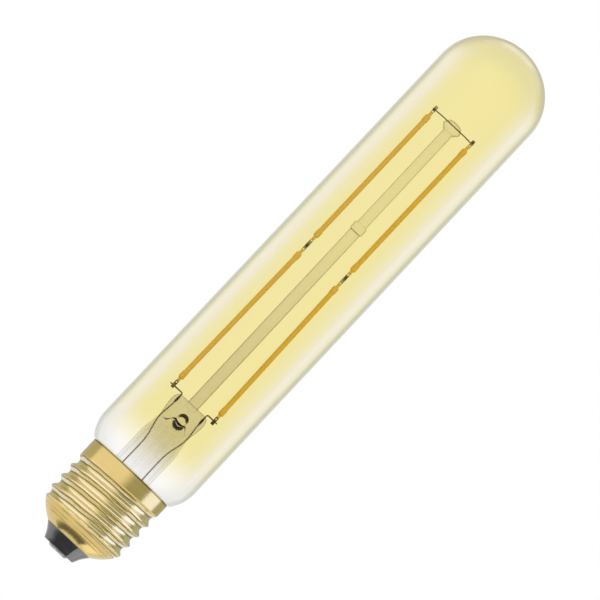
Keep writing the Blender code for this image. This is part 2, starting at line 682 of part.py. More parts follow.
def filaments(coat, metal):
    """Two filaments in line on each side, with a tab at each end; the middle tabs lap each other."""
    columns = (
        ("left", LEFT_FOOT_X, LEFT_MIDDLE_X, LEFT_HEAD_X, TAB_LENGTH, TAB_LONG_LENGTH),
        ("right", RIGHT_FOOT_X, RIGHT_MIDDLE_X, RIGHT_HEAD_X, TAB_LONG_LENGTH, TAB_LENGTH),
    )
    for side, foot_x, middle_x, head_x, lower_lap, upper_lap in columns:
        lower_foot = (foot_x, 0.0, LOWER_FOOT_Z)
        lower_head = (middle_x, 0.0, LOWER_HEAD_Z)
        upper_foot = (middle_x, 0.0, UPPER_FOOT_Z)
        upper_head = (head_x, 0.0, UPPER_HEAD_Z)
        filament("filament_lower_" + side, lower_foot, lower_head, coat)
        filament("filament_upper_" + side, upper_foot, upper_head, coat)
        below = (foot_x, 0.0, 0.0)
        above = (head_x, 0.0, LENGTH)
        tab("tab_lower_foot_" + side, lower_foot, below, TAB_LENGTH, -1, metal)
        tab("tab_lower_head_" + side, lower_head, upper_foot, lower_lap, 1, metal)
        tab("tab_upper_foot_" + side, upper_foot, lower_head, upper_lap, -1, metal)
        tab("tab_upper_head_" + side, upper_head, above, TAB_LENGTH, -1, metal)


def driver(finishes, stud_top_z):
    """The round board wedged in the cone of the cap, with its parts above and its two wires to the cap."""
    seat_z = board_top_z() - BOARD_THICKNESS
    edge = board_edge()
    outline = [(0.0, seat_z), (edge, seat_z), (edge, board_top_z()), (0.0, board_top_z())]
    revolve("driver_board", outline, BASE_SEGMENTS, finishes["board"])
    deck = board_top_z() + FIT
    place = chip_place()
    box("bridge_rectifier", BRIDGE_CHIP_SIZE, (0.0, place, deck), finishes["chip"])
    box("driver_ic", DRIVER_CHIP_SIZE, (0.0, -place, deck), finishes["chip"])
    box("fuse_resistor", FUSE_SIZE, (-place, 0.0, deck), finishes["ceramic"])
    can = [(0.0, deck), (CAPACITOR_RADIUS, deck), (CAPACITOR_RADIUS, deck + CAPACITOR_HEIGHT - CHIP_EDGE)]
    can += [(CAPACITOR_RADIUS - CHIP_EDGE, deck + CAPACITOR_HEIGHT), (0.0, deck + CAPACITOR_HEIGHT)]
    capacitor = revolve("capacitor", can, ROD_SEGMENTS, finishes["can"])
    capacitor.location.x = place
    contact_path = [(0.0, 0.0, stud_top_z + FIT), (0.0, 0.0, seat_z - FIT)]
    wire("contact_wire", contact_path, CONTACT_WIRE_RADIUS, finishes["sleeve"])
    wall_x = THREAD_ROOT_RADIUS - CAP_SHEET - FIT - SHELL_WIRE_RADIUS
    board_x = edge - WIRE_BEND
    shell_path = [
        (-board_x, 0.0, deck),
        (-board_x, 0.0, deck + WIRE_BEND),
        (-wall_x, 0.0, deck + 2 * WIRE_BEND),
        (-wall_x, 0.0, SHELL_WIRE_TOP_Z),
    ]
    wire("shell_wire", rounded_path(shell_path, WIRE_BEND), SHELL_WIRE_RADIUS, finishes["sleeve"])


def build():
    clear_scene()
    glass = material("tinted_glass", (0.95, 0.91, 0.63), 0.02, transmission=1.0)
    clear_glass = material("clear_glass", (0.93, 0.93, 0.88), 0.03, transmission=1.0)
    black_glass = material("black_glass", (0.05, 0.05, 0.05), 0.12)
    gold = material("gold_cap", (0.89, 0.78, 0.49), 0.2, metallic=1.0)
    nickel = material("nickel", (0.8, 0.79, 0.76), 0.25, metallic=1.0)
    steel = material("wire_metal", (0.5, 0.46, 0.38), 0.35, metallic=1.0)
    phosphor = material("phosphor_coat", (0.82, 0.66, 0.24), 0.6)
    cement = material("cement", (0.8, 0.78, 0.7), 0.9)
    driver_finishes = {
        "board": material("board_laminate", (0.15, 0.4, 0.2), 0.5),
        "chip": material("chip_plastic", (0.08, 0.08, 0.09), 0.5),
        "ceramic": material("resistor_body", (0.25, 0.4, 0.55), 0.5),
        "can": material("capacitor_sleeve", (0.12, 0.14, 0.2), 0.4),
        "sleeve": material("wire_sleeve", (0.85, 0.85, 0.82), 0.5),
    }
    glass_envelope(glass)
    cap_shell(gold)
    stud_top_z = cap_insulator(black_glass)[1]
    center_contact(stud_top_z, nickel)
    cap_cement(cement)
    stem(clear_glass)
    exhaust_tube(clear_glass)
    center_post_lower(clear_glass)
    center_post_upper(clear_glass)
    for name, side, foot_x, lead_z in sides():
        wire("lead_wire_" + name, lead_path(side, foot_x, lead_z), LEAD_RADIUS, steel)
    bridge_wire(steel)
    filaments(phosphor, steel)
    driver(driver_finishes, stud_top_z)


build()
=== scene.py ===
"""Looks of the tubular LED filament bulb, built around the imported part.

Lengths are metres in the part's own frame: z runs up the bulb's axis from the flat of the centre contact.
Colours are written as sRGB values from 0 to 255. Names that end in share or shares hold shares.
"""

import math

import bpy
import numpy as np
from mathutils import Matrix, Vector

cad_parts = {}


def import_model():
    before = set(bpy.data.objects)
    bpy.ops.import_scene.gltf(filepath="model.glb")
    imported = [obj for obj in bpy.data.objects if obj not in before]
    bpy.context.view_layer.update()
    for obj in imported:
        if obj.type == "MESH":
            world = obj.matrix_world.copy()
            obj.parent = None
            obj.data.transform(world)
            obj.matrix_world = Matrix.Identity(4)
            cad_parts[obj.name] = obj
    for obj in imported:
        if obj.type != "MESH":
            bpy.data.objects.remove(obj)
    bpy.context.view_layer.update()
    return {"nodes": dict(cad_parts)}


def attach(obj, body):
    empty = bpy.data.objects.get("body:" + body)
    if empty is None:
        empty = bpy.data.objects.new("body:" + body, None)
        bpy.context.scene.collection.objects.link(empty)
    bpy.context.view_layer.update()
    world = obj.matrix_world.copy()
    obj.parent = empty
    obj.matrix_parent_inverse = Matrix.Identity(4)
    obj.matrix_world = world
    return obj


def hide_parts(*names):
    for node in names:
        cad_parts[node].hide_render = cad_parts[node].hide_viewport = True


# Camera, by the photograph: 600 pixels wide and high
PHOTO_PIXELS = 600.0
FOCAL_PIXELS = 3770.0
AXIS_PIXEL = (297.85, 294.7)  # where the photograph shows the point of the bulb's axis on the lens's axis
CAMERA_PLACE = (0.0, -1.0, -0.00835)
CAMERA_PITCH = math.radians(5.82)
CAMERA_ROLL = math.radians(46.797)
SENSOR_WIDTH = 36.0
CAMERA_NEAR = 0.01

# Glass envelope
LENGTH = 0.1832
TUBE_RADIUS = 0.01618
TUBE_WALL = 0.0009
DOME_HEIGHT = 0.0154
SHOULDER_RADIUS = 0.011
SHOULDER_TOP_Z = 0.036
SEAT_Z = 0.029
NECK_RADIUS = 0.0112
NECK_BOTTOM_Z = 0.017
NECK_FILLET = 0.0015

# Screw cap
CAP_TOP_Z = 0.0287
CAP_SHEET = 0.0003
SKIRT_RADIUS = 0.01308
CREST_RADIUS = 0.01313
THREAD_DEPTH = 0.00108
THREAD_PITCH = 0.00363
CREST_Z = 0.02136
CREST_SHARPNESS = 1.6
THREAD_FOOT = (0.0088, 0.0098)
THREAD_HEAD = (0.0236, 0.0242)
RUNOUT_START_SHARE = -0.1
RUNOUT_END_SHARE = 0.3
CONE_BOTTOM_Z = 0.00466
CONE_BOTTOM_RADIUS = 0.0075
CONE_WIDTH = 0.00578
CONE_HEIGHT = 0.0075

# Insulator and contact
INSULATOR_BOTTOM_Z = 0.00065
INSULATOR_BOTTOM_RADIUS = 0.005
INSULATOR_TOP_RADIUS = 0.00745
INSULATOR_HOLLOW = 0.00025
INSULATOR_EDGE = 0.00015
INSULATOR_TOP_Z = 0.0055
INSULATOR_LEDGE_RADIUS = 0.0069
INSULATOR_BORE_RADIUS = 0.002
HAIR_GAP = 0.00002  # between pieces that touch
SEAT_GAP = 0.0001
CONTACT_RADIUS = 0.0031
CONTACT_FLAT_RADIUS = 0.0023
CONTACT_EDGE = 0.0001
FIT = 0.0003
STUD_RADIUS = 0.001

# Glass mount: flare, press, post, button and exhaust tube
STEM_WALL = 0.00085
FLARE_BOTTOM_Z = 0.0175
FLARE_HEIGHT = 0.0065
FLARE_RADIUS = 0.01
STEM_RADIUS = 0.00595
TUBE_TOP_Z = 0.0385
PRESS_TOP_Z = 0.05283
PRESS_HALF_WIDTH = 0.00572
PRESS_HALF_DEPTH = 0.0019
ROOF_Z = 0.0451
ROOF_HALF_WIDTH = 0.0041
ROOF_HALF_DEPTH = 0.0012
BLISTER_HALF_WIDTH = 0.0019
BLISTER_HALF_HEIGHT = 0.00235
BLISTER_DEPTH = 0.0014
BOWL_WALL_SHARE = 0.42
LIP_HEIGHT = 0.0001
LIP_SHARE = 1.12
LIP_SPREAD_SHARE = 0.14
BLISTER_Z = 0.04735
EXHAUST_RADIUS = 0.00165
EXHAUST_BORE_RADIUS = 0.00085
EXHAUST_X = 0.00045
EXHAUST_TIP_Z = 0.0125
EXHAUST_TIP_LENGTH = 0.00248
POST_RADIUS = 0.00167
POST_UPPER_RADIUS = 0.00154
POST_FOOT_X = -0.0001
POST_HEAD_X = -0.0004
BEAD_Z = 0.11769
BEAD_LENGTH = 0.0026
BEAD_RADIUS = 0.00203
BUTTON_BOTTOM_Z = 0.15304
BUTTON_HEIGHT = 0.0034
BUTTON_RADIUS = 0.00285

# Filaments and tabs
COAT_RADIUS = 0.0007
END_RADIUS = 0.00083
END_LENGTH = 0.002
NECK_LENGTH = 0.001
FILAMENT_NECK_RADIUS = 0.00045
LOWER_FOOT_Z = 0.05593
LOWER_HEAD_Z = 0.1021
UPPER_FOOT_Z = 0.1082
UPPER_HEAD_Z = 0.1529
LEFT_X = (-0.00763, -0.00724, -0.00726)  # at the foot, the middle and the head
RIGHT_X = (0.00684, 0.00622, 0.0063)
FILAMENT_NECK_EDGE = 0.00015
FILAMENT_COLLAR = ((0.0, 0.0004), (0.00004, 0.0001))  # (out from the neck, below the coat) where it widens
END_EDGE = 0.0003
END_INSET = 0.0005
EASE_LENGTH = 0.0008
COAT_INSET = 0.001
COAT_STEPS = 160
COAT_SIDES = 32
LUMP_SHARE = 0.012  # of the coat's radius
LUMP_WAVES = 2100.0  # in radians a metre, as are the twist and the ripple's waves
LUMP_TWIST = 900.0
RIPPLE_SHARE = 0.01
RIPPLE_WAVES = 5300.0
TAB_CORNER = 0.00012
TAB_EDGE = 0.00004
TAB_WIDTH = 0.00093
TAB_THICKNESS = 0.00025
TAB_LENGTH = 0.0024
TAB_LONG_LENGTH = 0.0033
TAB_HOLE_RADIUS = 0.00026
TAB_HOLE_INSET = 0.00055

# Wires
LEAD_RADIUS = 0.0002
LEAD_BOARD_X = 0.00401
LEAD_FLARE_X = 0.00345
LEAD_PRESS_X = 0.00435
LEAD_BOARD_Z = 0.00956
LEAD_FLARE_Z = 0.0305
LEAD_BEND = 0.0006
LEAD_SWEEP = 0.006
LEAD_OVERHANG = 0.0011
LEAD_WAY = ((0.0047, 0.0433), (0.0049, 0.0455), (0.00445, 0.0492))  # (x, z) in the foot of the press
LEAD_WELD_Z = 0.0513
LEAD_WELD_HALF_LENGTH = 0.0009
LEAD_WELD_SWELL_SHARE = 0.7
LEFT_LEAD_Z = 0.05335
RIGHT_LEAD_Z = 0.05367
BRIDGE_RADIUS = 0.000175
BRIDGE_Z = 0.1554
BRIDGE_OVERHANG = 0.0006
BRIDGE_STRAIGHT = 0.001  # how far it runs straight out of the button


# Shapes


def arc(centre, radius, start, end, steps, height=None):
    """Points (r, z) from one angle to another, in degrees; a height makes it part of an ellipse."""
    rise = radius if height is None else height
    angles = np.radians(np.linspace(start, end, steps + 1))
    return [(centre[0] + radius * math.cos(a), centre[1] + rise * math.sin(a)) for a in angles]


OUTLINE_BEND_SHARE = 0.45  # the most of a leg that one bend takes up
PATH_BEND_SHARE = 0.48
RING_FINENESS = 16


def eased(before, corner, after, bend, most_share, steps):
    """Points that round a corner off over the length bend, or over at most a share of its legs."""
    back = before - corner
    on = after - corner
    reach = min(bend, most_share * back.length, most_share * on.length)
    start = corner + reach * back.normalized()
    end = corner + reach * on.normalized()
    shares = [step / steps for step in range(steps + 1)]
    return [(1 - t) ** 2 * start + 2 * t * (1 - t) * corner + t ** 2 * end for t in shares]


def rounded(corners, radius, steps=2):
    """A closed outline of (r, z) corners with each corner that lies off the axis rounded."""
    corners = [Vector(corner) for corner in corners]
    outline = []
    for before, corner, after in zip(corners[-1:] + corners, corners, corners[1:] + corners[:1]):
        points = [corner]
        if corner[0] > 0.0:
            points = eased(before, corner, after, radius, OUTLINE_BEND_SHARE, steps)
        outline += [tuple(point) for point in points]
    return outline


def through(knots, steps):
    """Rows of numbers on a smooth curve through the knots, each span cut into steps."""
    knots = np.array(knots, float)
    padded = np.vstack([2 * knots[0] - knots[1], knots, 2 * knots[-1] - knots[-2]])
    rows = []
    for a, b, c, d in zip(padded, padded[1:], padded[2:], padded[3:]):
        for t in np.arange(steps) / steps:
            rows.append(0.5 * (2 * b + (c - a) * t + (2 * a - 5 * b + 4 * c - d) * t ** 2
                               + (3 * b - a - 3 * c + d) * t ** 3))
    rows.append(knots[-1])
    return np.array(rows)


def linked(name, data):
    """A new object with this data, in the scene."""
    made = bpy.data.objects.new(name, data)
    bpy.context.scene.collection.objects.link(made)
    return made


def mesh_from_grids(name, grids):
    """A mesh from grids of points, each closed round its rows.

    A grid is (points[row][column], ends). In ends, "s" closes the start, "e" closes the end, and "o" joins
    the last row to the first.
    """
    verts = []
    faces = []
    for points, ends in grids:
        base = len(verts)
        rows, columns = points.shape[:2]
        verts.extend(map(tuple, points.reshape(-1, 3)))
        index = base + np.arange(rows * columns).reshape(rows, columns)
        pairs = list(zip(index[:-1], index[1:]))
        if "o" in ends:
            pairs.append((index[-1], index[0]))
        for lower, upper in pairs:
            corners = (lower, np.roll(lower, -1), np.roll(upper, -1), upper)
            faces.extend(zip(*[corner.tolist() for corner in corners]))
        for end, row in (("s", 0), ("e", -1)):
            if end in ends:
                verts.append(tuple(points[row].mean(0)))
                tip = len(verts) - 1
                ring = index[row].tolist()
                ring = ring[::-1] if end == "s" else ring
                faces.extend((a, b, tip) for a, b in zip(ring, ring[1:] + ring[:1]))
    data = bpy.data.meshes.new(name)
    data.from_pydata(verts, [], faces)
    data.validate()
    data.shade_smooth()
    return linked(name, data)


def ring(half_width, half_depth, z, segments, x=0.0, power=2.0):
    """Evenly spaced points on a level superellipse; a power of 2 is a plain ellipse."""
    angle = np.linspace(0.0, 2 * math.pi, RING_FINENESS * segments + 1)
    cos, sin = np.cos(angle), np.sin(angle)
    across = half_width * np.sign(cos) * np.abs(cos) ** (2 / power)
    along = half_depth * np.sign(sin) * np.abs(sin) ** (2 / power)
    length = np.concatenate([[0.0], np.cumsum(np.hypot(np.diff(across), np.diff(along)))])
    places = length[-1] * np.arange(segments) / segments
    points = np.empty((segments, 3))
    points[:, 0] = x + np.interp(places, length, across)
    points[:, 1] = np.interp(places, length, along)
    points[:, 2] = z
    return points


def revolved(outline, segments):
    """The grid of an outline of (r, z) points spun about the z axis."""
    angle = 2 * math.pi * np.arange(segments) / segments
    r = np.array([point[0] for point in outline])[:, None]
    z = np.array([point[1] for point in outline])[:, None]
    return np.stack([r * np.cos(angle), r * np.sin(angle), z + 0 * angle], axis=2)


def turned(name, outline, segments):
    """A solid of revolution from a closed outline that starts and ends on the axis, or never meets it."""
    if outline[0][0] > 0.0:
        return mesh_from_grids(name, [(revolved(outline, segments), "o")])
    return mesh_from_grids(name, [(revolved(outline[1:-1], segments), "se")])


def placed_between(made, foot, head):
    """Moves a mesh that was built up +z from the origin onto the line from foot to head."""
    along = Vector(head) - Vector(foot)
    turn = along.to_track_quat("Z", "Y").to_matrix().to_4x4()
    made.data.transform(Matrix.Translation(foot) @ turn)
    return made


def rounded_path(corners, bend, steps=8):
    """A polyline whose corners are rounded off over the length bend, or less where a leg is short."""
    corners = [Vector(corner) for corner in corners]
    path = [corners[0]]
    for before, corner, after in zip(corners, corners[1:], corners[2:]):
        path += eased(before, corner, after, bend, PATH_BEND_SHARE, steps)
    return path + [corners[-1]]


def even_path(path, spacing):
    """The same line with points at even distances."""
    points = np.array([tuple(point) for point in path])
    length = np.concatenate([[0.0], np.cumsum(np.linalg.norm(np.diff(points, axis=0), axis=1))])
    places = np.linspace(0.0, length[-1], max(2, int(length[-1] / spacing)))
    return np.stack([np.interp(places, length, points[:, i]) for i in range(3)], axis=1)


WIRE_SPACING_SHARE = 0.7  # of the wire's radius, from one ring of points to the next
WIRE_DOME_STEPS = 3


def wire(name, path, radius, sides=20, swell=None):
    """A round wire along a path, with domed ends. swell gives a factor on the radius for each point."""
    points = even_path(path, radius * WIRE_SPACING_SHARE)
    ahead = np.gradient(points, axis=0)
    ahead /= np.linalg.norm(ahead, axis=1)[:, None]
    across = np.cross(ahead[0], (0.0, 1.0, 0.0))
    angle = 2 * math.pi * np.arange(sides)[:, None] / sides
    rows = []
    for i, (point, along) in enumerate(zip(points, ahead)):
        across = across - along * (across @ along)
        across /= np.linalg.norm(across)
        up = np.cross(along, across)
        width = radius * (swell(point) if swell else 1.0)
        from_end = min(i, len(points) - 1 - i)
        if from_end < WIRE_DOME_STEPS:
            width *= math.sqrt(1 - (1 - (from_end + 0.5) / WIRE_DOME_STEPS) ** 2)
        rows.append(point + width * (np.cos(angle) * across + np.sin(angle) * up))
    return mesh_from_grids(name, [(np.array(rows), "se")])


# Materials


def linear(colour):
    """A colour from 0 to 255 in sRGB, as linear numbers with alpha."""
    shares = [value / 255 for value in colour]
    return (*[s / 12.92 if s <= 0.04045 else ((s + 0.055) / 1.055) ** 2.4 for s in shares], 1.0)


GLOSS_ROUGHNESS = 0.03
GLOSS_POWER = 4.0


class Nodes:
    """The node tree of a material or a world, with short ways to add and link nodes."""

    def __init__(self, name, kind="Material"):
        owners = {"Material": bpy.data.materials, "World": bpy.data.worlds}[kind]
        self.owner = owners.new(name)
        self.owner.use_nodes = True
        self.tree = self.owner.node_tree
        self.tree.nodes.clear()
        self.output = self.add("Output" + kind)

    def add(self, kind, inputs=None, **settings):
        node = self.tree.nodes.new("ShaderNode" + kind)
        for key, value in settings.items():
            setattr(node, key, value)
        for key, value in (inputs or {}).items():
            self.put(node.inputs[key], value)
        return node

    def put(self, socket, value):
        if isinstance(value, bpy.types.NodeSocket):
            self.tree.links.new(value, socket)
        else:
            socket.default_value = value

    def surface(self, shader):
        self.put(self.output.inputs["Surface"], shader)
        return self.owner

    def math(self, operation, first, second=0.0):
        return self.add("Math", {0: first, 1: second}, operation=operation).outputs[0]

    def both(self, *masks):
        shown = masks[0]
        for mask in masks[1:]:
            shown = self.math("MULTIPLY", shown, mask)
        return shown

    def either(self, masks):
        shown = masks[0]
        for mask in masks[1:]:
            shown = self.math("MAXIMUM", shown, mask)
        return shown

    def away(self, value, middle):
        """How far a value lies from a middle one, to either side."""
        return self.math("ABSOLUTE", self.math("SUBTRACT", value, middle))

    def span(self, value, low, high, first=0.0, second=1.0, curve="LINEAR"):
        """A value mapped from the span low to high, and held inside it."""
        inputs = {"Value": value, "From Min": low, "From Max": high, "To Min": first, "To Max": second}
        return self.add("MapRange", inputs, interpolation_type=curve).outputs["Result"]

    def rise(self, value, low, high):
        """0 up to low and 1 from high on, with a smooth step between them."""
        return self.span(value, low, high, curve="SMOOTHSTEP")

    def fall(self, value, low, high):
        """1 up to low and 0 from high on, with a smooth step between them."""
        return self.span(value, low, high, 1.0, 0.0, "SMOOTHSTEP")

    def ramp(self, factor, stops):
        """A colour ramp through (place, linear colour) stops."""
        node = self.add("ValToRGB", {"Fac": factor})
        elements = node.color_ramp.elements
        while len(elements) < len(stops):
            elements.new(0.5)
        for element, (place, colour) in zip(elements, stops):
            element.position = place
            element.color = colour
        return node.outputs["Color"]

    def mix(self, factor, first, second, kind="RGBA"):
        inputs = {"Factor": factor, "A": first, "B": second}
        return self.add("Mix", inputs, data_type=kind).outputs["Result"]

    def painted(self, colour, mask, paint):
        """The colour with a paint (in sRGB from 0 to 255) over it where the mask shows it."""
        return self.mix(mask, colour, linear(paint))

    def mix_shader(self, factor, first, second):
        return self.add("MixShader", {0: factor, 1: first, 2: second}).outputs[0]

    def clear(self, tint=(1, 1, 1, 1)):
        """A shader that lets light through in this tint, and doesn't bend it."""
        return self.add("BsdfTransparent", {"Color": tint}).outputs[0]

    def glow(self, colour):
        return self.add("Emission", {"Color": (*colour, 1), "Strength": 1.0}).outputs[0]

    def facing(self):
        """How far the surface turns from the eye, from 0 square on to 1 at its edge."""
        return self.add("LayerWeight", {"Blend": 0.5}).outputs["Facing"]

    def glossed(self, shader, square_on, at_edge):
        """A clear polish over a shader."""
        gloss = self.add("BsdfGlossy", {"Color": (1, 1, 1, 1), "Roughness": GLOSS_ROUGHNESS}).outputs[0]
        rise = self.math("MULTIPLY", self.math("POWER", self.facing(), GLOSS_POWER), at_edge)
        return self.mix_shader(self.math("ADD", rise, square_on), shader, gloss)

    def solid(self, colour, rough, normal, others):
        """An opaque surface; others holds its other inputs by name."""
        inputs = {"Base Color": colour, "Roughness": rough, "Normal": normal, **others}
        return self.surface(self.add("BsdfPrincipled", inputs).outputs[0])

    def place(self):
        return self.add("TexCoord").outputs["Object"]

    def axis(self, name):
        """One of the object's own coordinates, by its letter."""
        return self.add("SeparateXYZ", {0: self.place()}).outputs[name]

    def lift(self):
        """How much the surface faces up, below zero where it faces down."""
        return self.add("SeparateXYZ", {0: self.add("TexCoord").outputs["Normal"]}).outputs["Z"]

    def noise(self, scale, detail=2.0, roughness=0.5, stretch=None):
        """Noise from 0 to 1. stretch scales the three directions first."""
        where = self.place()
        if stretch:
            where = self.add("Mapping", {"Vector": where, "Scale": stretch}).outputs[0]
        inputs = {"Vector": where, "Scale": scale, "Detail": detail, "Roughness": roughness}
        return self.add("TexNoise", inputs).outputs[0]

    def patches(self, scale, detail=2.0, edges=(0.3, 0.7), values=(0.0, 1.0)):
        """Noise made into patches, with the first value below the edges and the second above them."""
        return self.span(self.noise(scale, detail), *edges, *values)

    def bump(self, height, distance, strength):
        inputs = {"Height": height, "Distance": distance, "Strength": strength}
        return self.add("Bump", inputs).outputs[0]


# What both walls of the envelope together let through, by how far the glass turns from the eye
# The amber is the glass's own tint; the pale bands part way out are a painted reflection and the grey edges
# painted shade.
TINT_AND_PAINTED_LIGHT_STOPS = (
    (0.0, (244, 231, 160)), (0.165, (241, 229, 162)), (0.24, (240, 229, 170)), (0.306, (240, 230, 181)),
    (0.374, (241, 233, 201)), (0.43, (245, 237, 213)), (0.49, (246, 239, 214)), (0.565, (242, 236, 204)),
    (0.632, (226, 221, 187)), (0.72, (207, 204, 177)), (0.8, (221, 218, 198)), (1.0, (250, 249, 241)),
)
# Nearly clear glass, with painted shade toward its edges.
CLEAR_WITH_PAINTED_SHADE_STOPS = (
    (0.0, (255, 254, 251)), (0.2, (252, 250, 247)), (0.35, (243, 241, 236)), (0.49, (239, 237, 232)),
    (0.57, (239, 237, 232)), (0.64, (231, 229, 224)), (0.73, (217, 216, 212)), (0.8, (221, 220, 217)),
    (1.0, (249, 248, 246)),
)
# The dome's tint, with painted shade toward its edges.
DOME_TINT_AND_PAINTED_SHADE_STOPS = (
    (0.0, (244, 231, 160)), (0.13, (238, 228, 158)), (0.22, (232, 222, 157)), (0.32, (230, 220, 157)),
    (0.45, (229, 219, 161)), (0.55, (224, 213, 160)), (0.66, (216, 206, 159)), (0.8, (206, 199, 161)),
    (1.0, (228, 224, 204)),
)
# A painted highlight under the dome's crown.
CROWN_PAINTED_HIGHLIGHT_STOPS = (
    (0.0, (244, 231, 160)), (0.15, (238, 228, 158)), (0.225, (232, 222, 157)), (0.32, (229, 219, 154)),
    (0.42, (225, 216, 154)), (0.49, (226, 216, 161)), (0.55, (238, 227, 186)), (0.64, (238, 228, 191)),
    (0.72, (214, 206, 168)), (0.79, (198, 191, 154)), (1.0, (226, 222, 202)),
)
TINT_FADE = (0.031, 0.0445)  # in height, as the other fades of the glass
DOME_FADE = (0.169, 0.1762)
CROWN_HIGHLIGHT_FADE = (0.1789, 0.1802)
CROWN_HIGHLIGHT_TOP = (0.1825, 0.1831)
CROWN_HIGHLIGHT_X = -0.0008
CROWN_HIGHLIGHT_SIDES = (0.0036, 0.0074)  # the painted crown highlight goes out over this distance from CROWN_HIGHLIGHT_X
GLOSS_SHARES = (0.01, 0.3)  # square on, and added at the glass's edge


def ramp_stops(stops, walls=1):
    """Stops for one wall of glass, from what so many walls let through together."""
    return [(place, tuple(value ** (1 / walls) for value in linear(colour))) for place, colour in stops]


def layered(n, base, *changes, walls=1):
    """Tint and painted light by how far the glass turns from the eye: base, and other stops where their masks
    show them.
    """
    facing = n.facing()
    tint = n.ramp(facing, ramp_stops(base, walls))
    for mask, stops in changes:
        tint = n.mix(mask, tint, n.ramp(facing, ramp_stops(stops, walls)))
    return tint


def envelope_material():
    """Nearly clear at the foot, amber in the tube and the dome, with a painted highlight round the crown."""
    n = Nodes("tinted_glass")
    z = n.axis("Z")
    aside = n.fall(n.away(n.axis("X"), CROWN_HIGHLIGHT_X), *CROWN_HIGHLIGHT_SIDES)
    # Where the painted highlight round the crown shows, narrowed by its distance in x.
    crown = n.both(n.rise(z, *CROWN_HIGHLIGHT_FADE), aside, n.fall(z, *CROWN_HIGHLIGHT_TOP))
    wall = layered(n, CLEAR_WITH_PAINTED_SHADE_STOPS, (n.rise(z, *TINT_FADE), TINT_AND_PAINTED_LIGHT_STOPS), (n.rise(z, *DOME_FADE), DOME_TINT_AND_PAINTED_SHADE_STOPS),
                   (crown, CROWN_PAINTED_HIGHLIGHT_STOPS), walls=2)
    return n.surface(n.glossed(n.clear(wall), *GLOSS_SHARES))


def inner_wall_material():
    """The inside of the envelope, clear but for a trace of painted shade at its edge."""
    n = Nodes("envelope_inside")
    shade = n.ramp(n.facing(), [(0.0, (1, 1, 1, 1)), (0.85, (1, 1, 1, 1)), (1.0, (0.98, 0.98, 0.98, 1))])
    return n.surface(n.clear(shade))


# What one face of the glass mount lets through, by how far it turns from the eye
# Their greys and dark edges are painted shade.
ROD_PAINTED_SHADE_STOPS = (
    (0.0, (238, 236, 236)), (0.35, (236, 234, 233)), (0.5, (232, 230, 226)), (0.66, (210, 206, 195)),
    (0.82, (162, 157, 136)), (1.0, (184, 179, 162)),
)
UPPER_ROD_PAINTED_SHADE_STOPS = (
    (0.0, (247, 246, 244)), (0.35, (245, 244, 241)), (0.5, (241, 239, 234)), (0.66, (230, 226, 216)),
    (0.82, (206, 201, 183)), (1.0, (214, 210, 195)),
)
ROD_FADE = (0.06, 0.118)  # from the lower look to the upper one
THIN_STOPS = (
    (0.0, (255, 255, 255)), (0.5, (254, 254, 254)), (0.8, (248, 248, 246)), (1.0, (253, 253, 252)),
)
FLARE_STOPS = (
    (0.0, (255, 255, 255)), (0.3, (254, 254, 254)), (0.5, (253, 253, 252)), (0.75, (250, 250, 248)),
    (1.0, (252, 252, 250)),
)
TUBE_STOPS = (
    (0.0, (234, 232, 231)), (0.35, (236, 235, 233)), (0.55, (241, 240, 238)), (0.75, (244, 243, 240)),
    (1.0, (236, 234, 229)),
)
TUBE_FADE = (0.0265, 0.040)
PRESS_FADE = (0.0435, 0.048)
FOOT_FADE = (0.0526, 0.0529)  # below this the rod lies in the press and is hardly seen
ROD_GLOSS_SHARES = (0.015, 0.25)
THIN_GLOSS_SHARES = (0.0, 0.05)

# Painted shade in the press's bowl and roof, which shows where the glass turns up or down
PAINTED_TILT_SHADE_COLOUR = (66, 60, 38)
BOWL_TILT_SHARES = (0.14, 0.46)  # it comes in over this much up or down in the surface's direction
ROOF_TILT_SHARES = (0.4, 0.75)
TILT_TOP = (0.0498, 0.0512)  # it goes out over this height
BOWL_RING_SHARES = (0.3, 0.5)  # the bowl's comes in over these shares of an oval's radius
BOWL_END_SHARES = (0.92, 1.08)  # and goes out over these
BOWL_MIDDLE = 0.04745
BOWL_HALF = (0.0022, 0.0024)  # the oval's half width and half height
ROOF_FOOT = (0.0449, 0.0455)  # the roof's comes in over this height
ROOF_SIDES = (0.0046, 0.0052)  # and goes out over this distance from the exhaust tube's middle


def rod_material():
    """Clear glass, shown by its painted grey and painted dark edges, paler up the rod."""
    n = Nodes("rod_glass")
    z = n.axis("Z")
    tint = layered(n, ROD_PAINTED_SHADE_STOPS, (n.span(z, *ROD_FADE), UPPER_ROD_PAINTED_SHADE_STOPS))
    tint = n.mix(n.span(z, *FOOT_FADE), layered(n, THIN_STOPS), tint)
    return n.surface(n.glossed(n.clear(tint), *ROD_GLOSS_SHARES))


def thin_glass_material():
    """The exhaust tube's glass, nearly unseen."""
    n = Nodes("thin_glass")
    return n.surface(n.glossed(n.clear(layered(n, THIN_STOPS)), *THIN_GLOSS_SHARES))


def paint_tilt_shade(n, tint, near, shares):
    """Paints shade over the tint where the glass lies steeply up or down within near, and below the press's
    top.
    """
    steep = n.rise(n.math("ABSOLUTE", n.lift()), *shares)
    return n.painted(tint, n.both(steep, near, n.fall(n.axis("Z"), *TILT_TOP)), PAINTED_TILT_SHADE_COLOUR)


def bowl_ring(n):
    """The oval ring round the exhaust hole in which the bowl's walls lie."""
    across = n.math("DIVIDE", n.math("SUBTRACT", n.axis("X"), EXHAUST_X), BOWL_HALF[0])
    up = n.math("DIVIDE", n.math("SUBTRACT", n.axis("Z"), BOWL_MIDDLE), BOWL_HALF[1])
    out = n.math("SQRT", n.math("ADD", n.both(across, across), n.both(up, up)))
    return n.both(n.span(out, *BOWL_RING_SHARES), n.fall(out, *BOWL_END_SHARES))


